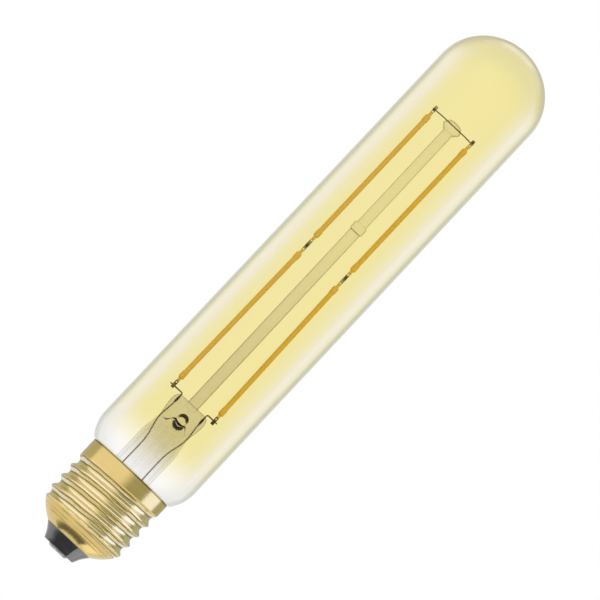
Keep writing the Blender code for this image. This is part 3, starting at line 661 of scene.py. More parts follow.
def roof_zone(n):
    """The part of the press in which the roof of its hollow lies."""
    return n.both(n.span(n.axis("Z"), *ROOF_FOOT), n.fall(n.away(n.axis("X"), EXHAUST_X), *ROOF_SIDES))


def stem_material():
    """The stem's outside: thin and nearly unseen at the flare, thick at the press, with painted grey and dark
    shade.
    """
    n = Nodes("stem_glass")
    z = n.axis("Z")
    tint = layered(n, FLARE_STOPS, (n.span(z, *TUBE_FADE), TUBE_STOPS), (n.rise(z, *PRESS_FADE), ROD_PAINTED_SHADE_STOPS))
    dark = paint_tilt_shade(n, tint, bowl_ring(n), BOWL_TILT_SHARES)
    return n.surface(n.glossed(n.clear(dark), *ROD_GLOSS_SHARES))


def stem_inside_material():
    """The inside of the flare, with painted shade along the roof under the press."""
    n = Nodes("stem_inside")
    return n.surface(n.clear(paint_tilt_shade(n, layered(n, THIN_STOPS), roof_zone(n), ROOF_TILT_SHARES)))


METAL = {"Metallic": 1.0}
BRASS_COLOUR = (230, 202, 130)
BRASS_WORN_COLOUR = (224, 196, 122)
# Painted highlights and painted shade lines that follow the thread
THREAD_HIGHLIGHT_COLOUR = (238, 215, 152)
UNDER_CREST_HIGHLIGHT_COLOUR = (237, 225, 186)
THREAD_SHADE_LINE_COLOUR = (138, 124, 70)
RIM_COLOUR = (150, 132, 70)
RIM_EDGE = (0.0281, 0.0284)
# The thread's painted bands, as shares of a pitch below its crest: (middle, half width), or the span that
# brightens
THREAD_SHADE_LINE_SHARES = ((0.11, 0.07), (0.4, 0.08))
THREAD_UNDER_HIGHLIGHT_SHARES = (0.26, 0.3)
THREAD_HIGHLIGHT_SHARES = (0.48, 0.6)
THREAD_WANDER_SHARE = 0.07  # how far the bands stray
BAND_CORE_SHARE = 0.3  # of a band's half width, at full strength
# Painted dark reflection rings round the cone, broken up by noise
CONE_REFLECTION_RINGS = ((0.0091, 0.0003), (0.0079, 0.0002), (0.0071, 0.00025))  # (height, half height)
CONE_REFLECTION_COLOUR = (168, 150, 92)


def band(n, value, middle, half):
    """1 round the middle of a value's band, falling to 0 at half its width to either side."""
    return n.fall(n.away(value, middle), half * BAND_CORE_SHARE, half)


def below_crest(n):
    """How far a point of the thread lies below its crest, as a share of the pitch."""
    turned = n.math("DIVIDE", n.math("ARCTAN2", n.axis("Y"), n.axis("X")), 2 * math.pi)
    fallen = n.math("DIVIDE", n.math("SUBTRACT", CREST_Z, n.axis("Z")), THREAD_PITCH)
    return n.math("FRACT", n.math("ADD", fallen, turned))


def thread_colour(n, colour):
    """Painted highlight bands above the thread's crests, and painted pale highlights and painted shade lines
    under them.
    """
    z = n.axis("Z")
    thread = n.both(n.rise(z, *THREAD_FOOT), n.fall(z, *THREAD_HEAD))
    wander = n.patches(110.0, values=(-THREAD_WANDER_SHARE, THREAD_WANDER_SHARE))
    below = n.math("ADD", below_crest(n), wander)
    colour = n.painted(colour, n.both(thread, n.rise(below, *THREAD_HIGHLIGHT_SHARES)), THREAD_HIGHLIGHT_COLOUR)
    colour = n.painted(colour, n.both(thread, band(n, below, *THREAD_UNDER_HIGHLIGHT_SHARES)), UNDER_CREST_HIGHLIGHT_COLOUR)
    lines = n.either([band(n, below, *line) for line in THREAD_SHADE_LINE_SHARES])
    return n.painted(colour, n.both(thread, lines), THREAD_SHADE_LINE_COLOUR)


def brass_material():
    """Rolled brass, with the thread's painted light and shade, painted dark reflection rings on the cone and
    a darker rim.
    """
    n = Nodes("gold_cap")
    z = n.axis("Z")
    plain = n.painted(linear(BRASS_COLOUR), n.patches(180.0, 3.0, (0.35, 0.7)), BRASS_WORN_COLOUR)
    rings = n.both(n.patches(130.0, edges=(0.38, 0.62)), n.either([band(n, z, *line) for line in CONE_REFLECTION_RINGS]))
    colour = n.painted(thread_colour(n, plain), rings, CONE_REFLECTION_COLOUR)
    colour = n.painted(colour, n.rise(z, *RIM_EDGE), RIM_COLOUR)
    rolled = n.noise(900.0, stretch=(0.12, 0.12, 6.0))
    return n.solid(colour, n.span(rolled, 0.3, 0.7, 0.15, 0.23), n.bump(rolled, 0.00002, 0.25), METAL)


BLACK_COLOUR = (16, 16, 17)
BLACK_SPECK_COLOUR = (27, 27, 28)
BLACK_IOR = 2.4  # higher than black glass has, for its strong gloss


def black_glass_material():
    n = Nodes("black_glass")
    colour = n.painted(linear(BLACK_COLOUR), n.patches(2500.0, edges=(0.4, 0.75)), BLACK_SPECK_COLOUR)
    rough = n.patches(400.0, values=(0.1, 0.2))
    return n.solid(colour, rough, n.bump(n.noise(350.0), 0.0001, 0.2), {"IOR": BLACK_IOR})


NICKEL_BRIGHT = (184, 183, 181)
NICKEL_DULL = (146, 145, 143)
TAB_BRIGHT = (180, 168, 114)
TAB_DULL = (148, 136, 90)
TAB_WELD_DARK_COLOUR = (74, 62, 38)
COATED_COLOUR = (214, 186, 104)
COATED_HALF_HEIGHT = 0.0009
COATED_REACH = 0.0011  # how far from a filament's end the tab's coated patch lies
COATED_HEIGHTS = (LOWER_HEAD_Z + COATED_REACH, UPPER_FOOT_Z - COATED_REACH, UPPER_HEAD_Z + COATED_REACH)
WELD_RISE_SHARE = 0.05  # of x, by which a weld on the right is higher
WELDS = ((0.0536, 0.003), (0.1053, 0.001), (0.1554, 0.0008))  # (height, half height)


def bare_metal(n, bright, dull, smoothest, roughest):
    """Bare metal with fine drawn marks and a dull film in patches."""
    colour = n.mix(n.patches(600.0, 3.0, (0.35, 0.7)), bright, dull)
    rough = n.patches(1500.0, values=(smoothest, roughest))
    return n.solid(colour, rough, n.bump(n.noise(3000.0), 0.00001, 0.4), METAL)


def nickel_material():
    return bare_metal(Nodes("nickel"), linear(NICKEL_BRIGHT), linear(NICKEL_DULL), 0.165, 0.275)


WIRE_STEPS = (
    # (height, bright colour, dull colour): the lead in the flare, its dark weld, and the lead above the press
    (0.0498, (172, 160, 124), (134, 122, 90)),
    (0.0505, (70, 62, 42), (52, 46, 30)),
    (0.0522, (70, 62, 42), (52, 46, 30)),
    (0.0530, (128, 116, 84), (96, 86, 58)),
)


def wire_material():
    """Drawn wire, dark at the weld inside the press."""
    n = Nodes("wire_metal")
    low, high = WIRE_STEPS[0][0], WIRE_STEPS[-1][0]
    risen = n.span(n.axis("Z"), low, high)
    bright = n.ramp(risen, [((z - low) / (high - low), linear(colour)) for z, colour, _ in WIRE_STEPS])
    dull = n.ramp(risen, [((z - low) / (high - low), linear(colour)) for z, _, colour in WIRE_STEPS])
    return bare_metal(n, bright, dull, 0.26, 0.44)


def tab_material():
    """Plated tabs, darker brown round the welds and yellow with coat next to the filaments."""
    n = Nodes("tab_metal")
    z = n.axis("Z")
    film = n.painted(linear(TAB_BRIGHT), n.patches(700.0, 3.0, (0.35, 0.7)), TAB_DULL)
    level = n.math("SUBTRACT", z, n.math("MULTIPLY", n.axis("X"), WELD_RISE_SHARE))
    weld_dark = n.either([band(n, level, *weld) for weld in WELDS])
    weld_dark = n.both(weld_dark, n.patches(1600.0, edges=(0.3, 0.6), values=(0.5, 1.0)))
    coated = n.either([band(n, z, middle, COATED_HALF_HEIGHT) for middle in COATED_HEIGHTS])
    colour = n.painted(n.painted(film, weld_dark, TAB_WELD_DARK_COLOUR), coated, COATED_COLOUR)
    return n.solid(colour, 0.3, n.bump(n.noise(2500.0), 0.00001, 0.4), METAL)


def matt_material(name, light, dark, roughness, scale, specular=0.4):
    """A grainy surface that isn't metal."""
    n = Nodes(name)
    colour = n.painted(linear(light), n.span(n.noise(scale, 4.0, 0.6), 0.3, 0.72), dark)
    normal = n.bump(n.noise(scale * 1.6, 3.0, 0.6), 0.00003, 0.7)
    return n.solid(colour, roughness, normal, {"Specular IOR Level": specular})


COAT_LIGHT = (208, 173, 80)
COAT_DARK = (200, 164, 70)


def coat_material():
    return matt_material("phosphor_coat", COAT_LIGHT, COAT_DARK, 0.7, 2600.0, specular=0.02)


def dress(made, material, slot, *nodes):
    """Gives a new piece its finish and its ride, and hides the nodes that it stands for."""
    made.data.materials.append(material)
    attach(made, "root")
    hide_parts(*nodes)


# Pieces


ENVELOPE_SEGMENTS = 128
FILLET_STEPS = 12
SHOULDER_STEPS = 36
SHOULDER_INNER_STEPS = 30
TUBE_STEPS = 40
DOME_STEPS = 64
DOME_END = 89.5  # degrees, just short of the axis
FILLET_END = 90  # degrees, at the seat
FILLET_INNER_END = 97  # degrees, just short of the seat
LIP_STEPS = 8


def envelope_line(wall, fillet_end, shoulder_steps):
    """Points (r, z) up the envelope from the neck's fillet to the dome, at a depth below its outside."""
    radius = TUBE_RADIUS - wall
    shoulder = SHOULDER_RADIUS - wall
    start = -math.degrees(math.asin((SHOULDER_TOP_Z - SEAT_Z - wall) / shoulder))
    line = arc((NECK_RADIUS + NECK_FILLET, SEAT_Z - NECK_FILLET), NECK_FILLET + wall, 180, fillet_end,
               FILLET_STEPS)
    line += arc((TUBE_RADIUS - SHOULDER_RADIUS, SHOULDER_TOP_Z), shoulder, start, 0, shoulder_steps)
    line += [(radius, z) for z in np.linspace(SHOULDER_TOP_Z, LENGTH - DOME_HEIGHT, TUBE_STEPS)[1:-1]]
    return line + arc((0.0, LENGTH - DOME_HEIGHT), radius, 0, DOME_END, DOME_STEPS, DOME_HEIGHT - wall)


def envelope(outside, inside):
    """Neck, shoulder, tube and dome in one wall of glass."""
    outer = envelope_line(0.0, FILLET_END, SHOULDER_STEPS)
    inner = envelope_line(TUBE_WALL, FILLET_INNER_END, SHOULDER_INNER_STEPS)
    half_wall = TUBE_WALL / 2
    lip = arc((NECK_RADIUS - half_wall, NECK_BOTTOM_Z + half_wall), half_wall, 180, 360, LIP_STEPS)
    made = mesh_from_grids("envelope", [(revolved(inner[::-1] + lip + outer, ENVELOPE_SEGMENTS), "se")])
    made.data.materials.append(outside)
    dress(made, inside, "tinted_glass", "glass_envelope")
    inner_rows = len(inner) + len(lip) // 2
    for face in made.data.polygons:
        face.material_index = 1 if min(face.vertices) // ENVELOPE_SEGMENTS < inner_rows else 0
    made.data.polygons[-1].material_index = 0


def cone_radius(z):
    share = np.minimum((z - CONE_BOTTOM_Z) / CONE_HEIGHT, 1.0)
    return CONE_BOTTOM_RADIUS + CONE_WIDTH * (1 - (1 - share) ** 2)


def cap_radius(angle, z):
    """The outside of the cap: a right-hand thread between the cone and the skirt."""
    turns = (z - CREST_Z) / THREAD_PITCH - angle / (2 * math.pi)
    whole = np.floor(turns)
    crest = ((1 + np.cos(2 * math.pi * (turns - whole))) / 2) ** CREST_SHARPNESS
    climbed = whole + angle / (2 * math.pi)
    left = np.clip((RUNOUT_END_SHARE - climbed) / (RUNOUT_END_SHARE - RUNOUT_START_SHARE), 0.0, 1.0)
    depth = THREAD_DEPTH * left * left * (3 - 2 * left)
    top = SKIRT_RADIUS + (CREST_RADIUS - SKIRT_RADIUS) * np.clip(-climbed, 0.0, 1.0)
    return np.minimum(top - depth * (1 - crest), cone_radius(z))


CAP_SEGMENTS = 168
CAP_ROWS = 190
CAP_STEEPEST = 2.0
CAP_SHARP_ANGLE = math.radians(50)


def cap_grid(heights, inset):
    """Points at the given heights round the cap, moved in by inset square to its section."""
    angle = (2 * math.pi * np.arange(CAP_SEGMENTS) / CAP_SEGMENTS)[None, :]
    z = np.array(heights)[:, None] + 0 * angle
    step = CAP_SHEET / 10
    slope = (cap_radius(angle, z + step) - cap_radius(angle, z - step)) / (2 * step)
    slope = np.clip(slope, -CAP_STEEPEST, CAP_STEEPEST)
    length = np.sqrt(1 + slope * slope)
    radius = cap_radius(angle, z) - inset / length
    return np.stack([radius * np.cos(angle), radius * np.sin(angle), z + inset * slope / length], axis=2)


def screw_cap(material):
    """The rolled shell, with its thread inside and out."""
    heights = np.linspace(CONE_BOTTOM_Z, CAP_TOP_Z, CAP_ROWS)
    grid = np.concatenate([cap_grid(heights, 0.0), cap_grid(heights[::-2], CAP_SHEET)])
    made = mesh_from_grids("screw_cap", [(grid, "o")])
    dress(made, material, "gold_cap", "cap_shell")
    made.data.set_sharp_from_angle(angle=CAP_SHARP_ANGLE)


TURNED_SEGMENTS = 96


def insulator(material):
    """Black glass, bent in a little between the contact and the cap."""
    top_z = CONE_BOTTOM_Z - HAIR_GAP
    middle = ((INSULATOR_BOTTOM_RADIUS + INSULATOR_TOP_RADIUS) / 2 - INSULATOR_HOLLOW,
              (INSULATOR_BOTTOM_Z + top_z) / 2)
    side = through([(INSULATOR_BOTTOM_RADIUS, INSULATOR_BOTTOM_Z), middle, (INSULATOR_TOP_RADIUS, top_z)], 8)
    outline = [(CONTACT_RADIUS - FIT, INSULATOR_BOTTOM_Z)] + [tuple(point) for point in side]
    outline += [(CONE_BOTTOM_RADIUS - CAP_SHEET - SEAT_GAP, top_z + FIT)]
    outline += [(INSULATOR_LEDGE_RADIUS, INSULATOR_TOP_Z), (INSULATOR_BORE_RADIUS, INSULATOR_TOP_Z)]
    made = turned("insulator", rounded(outline, INSULATOR_EDGE), TURNED_SEGMENTS)
    dress(made, material, "black_glass", "cap_insulator")


def contact(material):
    """The plate that meets the socket, flat in the middle, with a rolled edge and the stud's foot behind."""
    top = INSULATOR_BOTTOM_Z - HAIR_GAP
    outline = [(0.0, 0.0), (CONTACT_FLAT_RADIUS, 0.0)]
    outline += arc((CONTACT_FLAT_RADIUS, top), CONTACT_RADIUS - CONTACT_FLAT_RADIUS, -80, 0, 8, top)
    outline += [(STUD_RADIUS, top + SEAT_GAP), (0.0, top + SEAT_GAP)]
    made = turned("contact", rounded(outline, CONTACT_EDGE), TURNED_SEGMENTS)
    dress(made, material, "nickel", "center_contact")


def post_x(z):
    """The x of the post's leaning axis."""
    share = (z - PRESS_TOP_Z) / (BRIDGE_Z - PRESS_TOP_Z)
    return POST_FOOT_X + np.clip(share, 0.0, 1.0) * (POST_HEAD_X - POST_FOOT_X)


FLARE_SHARES = ((0.0, 1.0), (0.06, 0.8), (0.18, 0.5), (0.38, 0.24), (0.66, 0.07), (1.0, 0.0))
PRESS_SHARES = (
    # height from the tube to the press top, half width, depth from the press to the tube, squareness
    (0.0, 1.04, 1.0, 2.0), (0.12, 1.03, 0.88, 2.0), (0.26, 0.965, 0.6, 2.1), (0.42, 0.9, 0.2, 2.3),
    (0.53, 0.9, 0.04, 2.5), (0.68, 0.965, 0.0, 2.6), (0.83, 1.0, 0.0, 2.6), (0.93, 0.955, 0.0, 2.5),
    (0.98, 0.87, -0.04, 2.4), (1.0, 0.76, -0.12, 2.3),
)
CAVITY_SHARES = ((0.0, 1.0), (0.35, 0.78), (0.9, 0.12), (1.0, 0.0))
ROOF_SHARES = ((0.85, 0.4), (0.6, 0.75), (0.3, 0.95))  # (of the roof's half width and depth, of its rise)
RIM_SHARES = ((0.85, 0.2), (0.5, 0.32), (0.15, 0.2))  # of the wall: (in from the flare's edge, below it)
BEAD_SHARES = ((0.0, 0.0), (0.1, 0.75), (0.3, 1.0), (0.5, 0.9), (0.7, 1.0), (0.9, 0.75), (1.0, 0.0))
BUTTON_SHARES = (
    (0.0, 0.0), (0.04, 0.3), (0.14, 0.36), (0.24, 0.7), (0.4, 0.98), (0.55, 0.94), (0.68, 0.66), (0.8, 0.5),
)
STEM_SEGMENTS = 288
STEM_SHARP_ANGLE = math.radians(60)
TUBE_SEGMENTS = 64
BEAD_SEGMENTS = 96
ROOF_RISE = 0.0005
ARCH_RISE = 0.0022
ARCH_HALF_WIDTH = 0.0027
ARCH_DIP = 0.001
ARCH_DIP_WIDTH = 0.0014
POST_SINK = 0.0009  # how far the rod's foot lies inside the press
POST_FOOT_HEIGHT = 0.0008


def round_row(r, z, x=0.0):
    """A row (half width, half depth, z, x, power) of a round section."""
    return (r, r, z, x, 2.0)


def flare_rows(wall):
    """The flare and the tube, at a depth below the outside."""
    knots = [(FLARE_BOTTOM_Z + height * FLARE_HEIGHT, STEM_RADIUS + extra * (FLARE_RADIUS - STEM_RADIUS))
             for height, extra in FLARE_SHARES]
    rows = [round_row(r - wall, z) for z, r in through(knots, 6)]
    tube = np.linspace(knots[-1][0], TUBE_TOP_Z, 10)[1:]
    return rows + [round_row(STEM_RADIUS - wall, z) for z in tube]


def press_rows():
    rows = []
    for height, width, depth, power in through(PRESS_SHARES, 15)[1:]:
        z = TUBE_TOP_Z + height * (PRESS_TOP_Z - TUBE_TOP_Z)
        half_depth = PRESS_HALF_DEPTH + depth * (STEM_RADIUS - PRESS_HALF_DEPTH)
        rows.append((width * PRESS_HALF_WIDTH, half_depth, z, 0.0, power))
    return rows


def rod_rows(foot_z, head_z, radius, steps):
    return [round_row(radius, z, post_x(z)) for z in np.linspace(foot_z, head_z, steps)]


def end_rows(z, radius, height, start, end, steps):
    """A rounded end of a rod, up from z or down to it."""
    return [round_row(r, up, post_x(z)) for r, up in arc((0.0, z), radius, start, end, steps, height)]


def lower_post_rows():
    """The lower rod, from its rounded foot inside the press to the bead."""
    foot_z = PRESS_TOP_Z - POST_SINK
    rows = end_rows(foot_z, POST_RADIUS, POST_FOOT_HEIGHT, -85, 0, 8)
    return rows + rod_rows(foot_z, BEAD_Z - BEAD_LENGTH / 2, POST_RADIUS, 40)[1:]


def bulge_rows(shares, steps, foot_z, height, foot_radius, head_radius, widest):
    """A swelling of the post, from its (height, swell) shares."""
    rows = []
    for up, out in through(shares, steps):
        base = foot_radius + up * (head_radius - foot_radius)
        z = foot_z + up * height
        rows.append(round_row(base + out * (widest - base), z, post_x(z)))
    return rows


def upper_post_rows():
    """The bead, the upper rod and the button."""
    radius = POST_UPPER_RADIUS
    bead_foot = BEAD_Z - BEAD_LENGTH / 2
    rows = bulge_rows(BEAD_SHARES, 6, bead_foot, BEAD_LENGTH, POST_RADIUS, radius, BEAD_RADIUS)
    rows += rod_rows(bead_foot + BEAD_LENGTH, BUTTON_BOTTOM_Z, radius, 24)[1:-1]
    rows += bulge_rows(BUTTON_SHARES, 5, BUTTON_BOTTOM_Z, BUTTON_HEIGHT, radius, radius, BUTTON_RADIUS)
    crown_radius, crown_z = rows[-1][0], rows[-1][2]
    crown_height = BUTTON_BOTTOM_Z + BUTTON_HEIGHT - crown_z
    return rows + end_rows(crown_z, crown_radius, crown_height, 10, 86, 8)


def cavity_rows():
    """Up the inside of the flare to the roof under the press."""
    rows = flare_rows(STEM_WALL)
    bore = STEM_RADIUS - STEM_WALL
    for height, left in through(CAVITY_SHARES, 8)[1:]:
        half_width = ROOF_HALF_WIDTH + left * (bore - ROOF_HALF_WIDTH)
        half_depth = ROOF_HALF_DEPTH + left * (bore - ROOF_HALF_DEPTH)
        z = TUBE_TOP_Z + height * (ROOF_Z - TUBE_TOP_Z)
        rows.append((half_width, half_depth, z, 0.0, 2.0))
    for share, rise in ROOF_SHARES:
        rows.append((ROOF_HALF_WIDTH * share, ROOF_HALF_DEPTH * share, ROOF_Z + rise * ROOF_RISE, 0.0, 2.0))
    return rows


def arched(points):
    """Lifts the middle of the hollow's roof toward the exhaust hole, with a dip at its crown."""
    share = np.clip((points[..., 2] - TUBE_TOP_Z) / (ROOF_Z - TUBE_TOP_Z), 0.0, 1.0) ** 3
    away = points[..., 0] - EXHAUST_X
    dip = ARCH_DIP * np.exp(-(away / ARCH_DIP_WIDTH) ** 2)
    points[..., 2] += share * (ARCH_RISE * np.exp(-(away / ARCH_HALF_WIDTH) ** 6) - dip)
    return points


def dimpled(points):
    """Presses the exhaust hole's steep-walled hollow into the front of the press, with a low lip round it."""
    x = (points[..., 0] - EXHAUST_X) / BLISTER_HALF_WIDTH
    z = (points[..., 2] - BLISTER_Z) / BLISTER_HALF_HEIGHT
    away = np.sqrt(x * x + z * z)
    inward = np.clip((1.0 - away) / BOWL_WALL_SHARE, 0.0, 1.0)
    bowl = BLISTER_DEPTH * inward * inward * (3 - 2 * inward)
    lip = LIP_HEIGHT * np.exp(-((away - LIP_SHARE) / LIP_SPREAD_SHARE) ** 2)
    points[..., 1] += np.where(points[..., 1] < -FIT, bowl - lip, 0.0)
    return points


def exhaust_rows(radius, tip_z):
    """A closed tube end at the bottom, and up to the press."""
    foot = EXHAUST_TIP_Z + EXHAUST_TIP_LENGTH
    rows = [round_row(r, z, EXHAUST_X) for r, z in arc((0.0, foot), radius, -85, 0, 8, foot - tip_z)]
    return rows + [round_row(radius, z, EXHAUST_X) for z in np.linspace(foot, ROOF_Z, 16)[1:]]


def grid_of(rows, segments=STEM_SEGMENTS):
    return np.array([ring(w, d, z, segments, x, p) for w, d, z, x, p in rows])


def stem(outside, inside):
    """Flare, tube and flat press, drawn from one glass tube, with the hollow that the exhaust hole left."""
    rim = [round_row(FLARE_RADIUS - share * STEM_WALL, FLARE_BOTTOM_Z - drop * STEM_WALL)
           for share, drop in RIM_SHARES]
    hollow = np.concatenate([arched(grid_of(cavity_rows()[::-1])), grid_of(rim)])
    skin = dimpled(grid_of(flare_rows(0.0) + press_rows()))
    made = mesh_from_grids("stem", [(np.concatenate([hollow, skin]), "se")])
    made.data.materials.append(outside)
    dress(made, inside, "clear_glass", "stem_flare")
    first_end = len(hollow) * STEM_SEGMENTS
    last = len(made.data.vertices) - 1
    for face in made.data.polygons:
        inner = min(face.vertices) < first_end and last not in face.vertices
        face.material_index = 1 if inner else 0
    made.data.set_sharp_from_angle(angle=STEM_SHARP_ANGLE)


def mount(material, thin):
    """The exhaust tube, the two rods of the post, the bead and the button."""
    outer = exhaust_rows(EXHAUST_RADIUS, EXHAUST_TIP_Z)
    inner = exhaust_rows(EXHAUST_BORE_RADIUS, EXHAUST_TIP_Z + EXHAUST_RADIUS)[::-1]
    for name, rows, segments, finish, node in (
        ("exhaust", outer + inner, TUBE_SEGMENTS, thin, "exhaust_tube"),
        ("post_lower", lower_post_rows(), TUBE_SEGMENTS, material, "center_post_lower"),
        ("post_upper", upper_post_rows(), BEAD_SEGMENTS, material, "center_post_upper"),
    ):
        dress(mesh_from_grids(name, [(grid_of(rows, segments), "se")]), finish, "clear_glass", node)


def lead_swell(point):
    """The lead is thicker where its two metals are welded, inside the press's top."""
    return 1.0 + LEAD_WELD_SWELL_SHARE * math.exp(-((point[2] - LEAD_WELD_Z) / LEAD_WELD_HALF_LENGTH) ** 4)


def lead_wire(name, side, foot_x, lead_z, material):
    """From the board up through the press, then out behind the filament's tab."""
    behind = TAB_THICKNESS + FIT / 2 + FIT + LEAD_RADIUS
    way = ((LEAD_BOARD_X, LEAD_BOARD_Z), (LEAD_BOARD_X, FLARE_BOTTOM_Z), (LEAD_FLARE_X, LEAD_FLARE_Z),
           (LEAD_FLARE_X, TUBE_TOP_Z), *LEAD_WAY)
    gentle = rounded_path([(side * x, 0.0, z) for x, z in way], LEAD_SWEEP)
    tight = rounded_path([gentle[-1], (side * LEAD_PRESS_X, 0.0, lead_z), (foot_x, behind, lead_z),
                          (foot_x + side * LEAD_OVERHANG, behind, lead_z)], LEAD_BEND)
    made = wire("lead_" + name, gentle[:-1] + tight, LEAD_RADIUS, swell=lead_swell)
    dress(made, material, "wire_metal", "lead_wire_" + name)


def bridge(material):
    """From the left filaments through the post's button to the right ones."""
    behind = TAB_THICKNESS + FIT / 2 + FIT + BRIDGE_RADIUS
    inner_x = BUTTON_RADIUS + BRIDGE_STRAIGHT
    way = (
        (LEFT_X[2] - BRIDGE_OVERHANG, behind), (LEFT_X[2], behind), (POST_HEAD_X - inner_x, 0.0),
        (POST_HEAD_X + inner_x, 0.0), (RIGHT_X[2], behind), (RIGHT_X[2] + BRIDGE_OVERHANG, behind),
    )
    made = wire("bridge", rounded_path([(x, y, BRIDGE_Z) for x, y in way], LEAD_BEND), BRIDGE_RADIUS)
    dress(made, material, "wire_metal", "bridge_wire")


def coat_end():
    """The outline (r, z) of a filament's end, up from the tip of its neck."""
    ease = END_RADIUS - COAT_RADIUS
    half = [(0.0, -NECK_LENGTH)]
    half += arc((FILAMENT_NECK_RADIUS - FILAMENT_NECK_EDGE, FILAMENT_NECK_EDGE - NECK_LENGTH),
                FILAMENT_NECK_EDGE, -90, 0, 3)
    half += [(FILAMENT_NECK_RADIUS + out, -below) for out, below in FILAMENT_COLLAR]
    half += arc((END_RADIUS - END_EDGE, END_EDGE), END_EDGE, -70, 0, 6)
    half += [(END_RADIUS, z) for z in np.linspace(END_INSET, END_LENGTH - END_INSET, 6)]
    half += [(COAT_RADIUS + ease * (1 + math.cos(math.pi * t)) / 2, END_LENGTH + EASE_LENGTH * (t - 0.5))
             for t in np.linspace(0.1, 1.0, 8)]
    return half


def uneven(grid):
    """A coat's lumps and ripples."""
    z = grid[..., 2]
    angle = np.arange(COAT_SIDES) * 2 * math.pi / COAT_SIDES
    lumps = LUMP_SHARE * np.sin(z * LUMP_WAVES) * np.sin(2 * angle + z * LUMP_TWIST)
    grid[..., :2] *= (1 + lumps + RIPPLE_SHARE * np.sin(z * RIPPLE_WAVES + 3 * angle))[..., None]
    return grid


def filament(name, node, foot, head, material):
    """A coated strip: a slightly uneven coat, thicker at the ends, drawn in where the tabs join."""
    length = (Vector(head) - Vector(foot)).length
    inset = END_LENGTH + COAT_INSET
    half = coat_end()
    body = [(COAT_RADIUS, z) for z in np.linspace(inset, length - inset, COAT_STEPS)]
    outline = half + body + [(r, length - z) for r, z in reversed(half)]
    made = mesh_from_grids(name, [(uneven(revolved(outline[1:-1], COAT_SIDES)), "se")])
    placed_between(made, foot, head)
    dress(made, material, "phosphor_coat", node)


TAB_CORNER_STEPS = 6
TAB_SHARP_ANGLE = math.radians(30)


def tab_outline(length):
    """Points (x, z) round a tab, with its corners rounded."""
    side, head = TAB_WIDTH / 2 - TAB_CORNER, length - TAB_CORNER
    outline = []
    corners = ((side, TAB_CORNER, -90), (side, head, 0), (-side, head, 90), (-side, TAB_CORNER, 180))
    for x, z, start in corners:
        outline += arc((x, z), TAB_CORNER, start, start + 90, TAB_CORNER_STEPS)
    return np.array(outline)


def tab(name, node, start, toward, length, front, material):
    """A stamped tab with a round hole near the filament and eased corners."""
    outside = tab_outline(length)
    around = np.arctan2(outside[:, 1] - TAB_HOLE_INSET, outside[:, 0])
    hole = (0.0, TAB_HOLE_INSET) + TAB_HOLE_RADIUS * np.stack([np.cos(around), np.sin(around)], axis=1)
    inward = np.array((0.0, length / 2)) - outside
    face = outside + inward / np.linalg.norm(inward, axis=1)[:, None] * TAB_EDGE
    half = TAB_THICKNESS / 2
    rows = [np.insert(points, 1, y, axis=1) for points, y in (
        (hole, half), (hole, -half), (face, -half), (outside, TAB_EDGE - half), (outside, half - TAB_EDGE),
        (face, half),
    )]
    made = mesh_from_grids(name, [(np.array(rows), "o")])
    made.data.set_sharp_from_angle(angle=TAB_SHARP_ANGLE)
    direction = (Vector(toward) - Vector(start)).normalized()
    offset = Vector((0.0, front * (TAB_THICKNESS + FIT) / 2, 0.0))
    place = Vector(start) + offset + direction * (NECK_LENGTH + HAIR_GAP)
    placed_between(made, place, place + direction)
    dress(made, material, "wire_metal", node)


def filaments(coat, metal):
    columns = (("left", LEFT_X, TAB_LENGTH, TAB_LONG_LENGTH), ("right", RIGHT_X, TAB_LONG_LENGTH, TAB_LENGTH))
    for side, (foot_x, middle_x, head_x), lower_lap, upper_lap in columns:
        lower_foot = (foot_x, 0.0, LOWER_FOOT_Z)
        lower_head = (middle_x, 0.0, LOWER_HEAD_Z)
        upper_foot = (middle_x, 0.0, UPPER_FOOT_Z)
        upper_head = (head_x, 0.0, UPPER_HEAD_Z)
        filament("coat_lower_" + side, "filament_lower_" + side, lower_foot, lower_head, coat)
        filament("coat_upper_" + side, "filament_upper_" + side, upper_foot, upper_head, coat)
        for part, start, toward, length, front in (
            ("lower_foot_", lower_foot, (foot_x, 0.0, 0.0), TAB_LENGTH, -1),
            ("lower_head_", lower_head, upper_foot, lower_lap, 1),
            ("upper_foot_", upper_foot, lower_head, upper_lap, -1),
            ("upper_head_", upper_head, (head_x, 0.0, LENGTH), TAB_LENGTH, -1),
        ):
            tab("plate_" + part + side, "tab_" + part + side, start, toward, length, front, metal)


def inner_nodes(nodes):
    """The cement and the driver keep their solids and get their finish."""
    finishes = {
        "cap_cement": matt_material("cement", (214, 208, 190), (186, 178, 158), 0.9, 900.0),
        "driver_board": matt_material("board_laminate", (40, 96, 52), (30, 76, 42), 0.45, 1200.0),
        "bridge_rectifier": matt_material("chip_plastic", (30, 30, 32), (20, 20, 22), 0.5, 3000.0),
        "fuse_resistor": matt_material("resistor_body", (92, 120, 150), (74, 98, 126), 0.5, 1500.0),
        "capacitor": matt_material("capacitor_sleeve", (34, 38, 52), (26, 28, 40), 0.35, 1500.0),
        "contact_wire": matt_material("wire_sleeve", (222, 220, 212), (204, 200, 190), 0.5, 1500.0),
    }
    finishes["driver_ic"] = finishes["bridge_rectifier"]
    finishes["shell_wire"] = finishes["contact_wire"]
    for name, material in finishes.items():
        nodes[name].data.materials.clear()
        nodes[name].data.materials.append(material)


# Stage


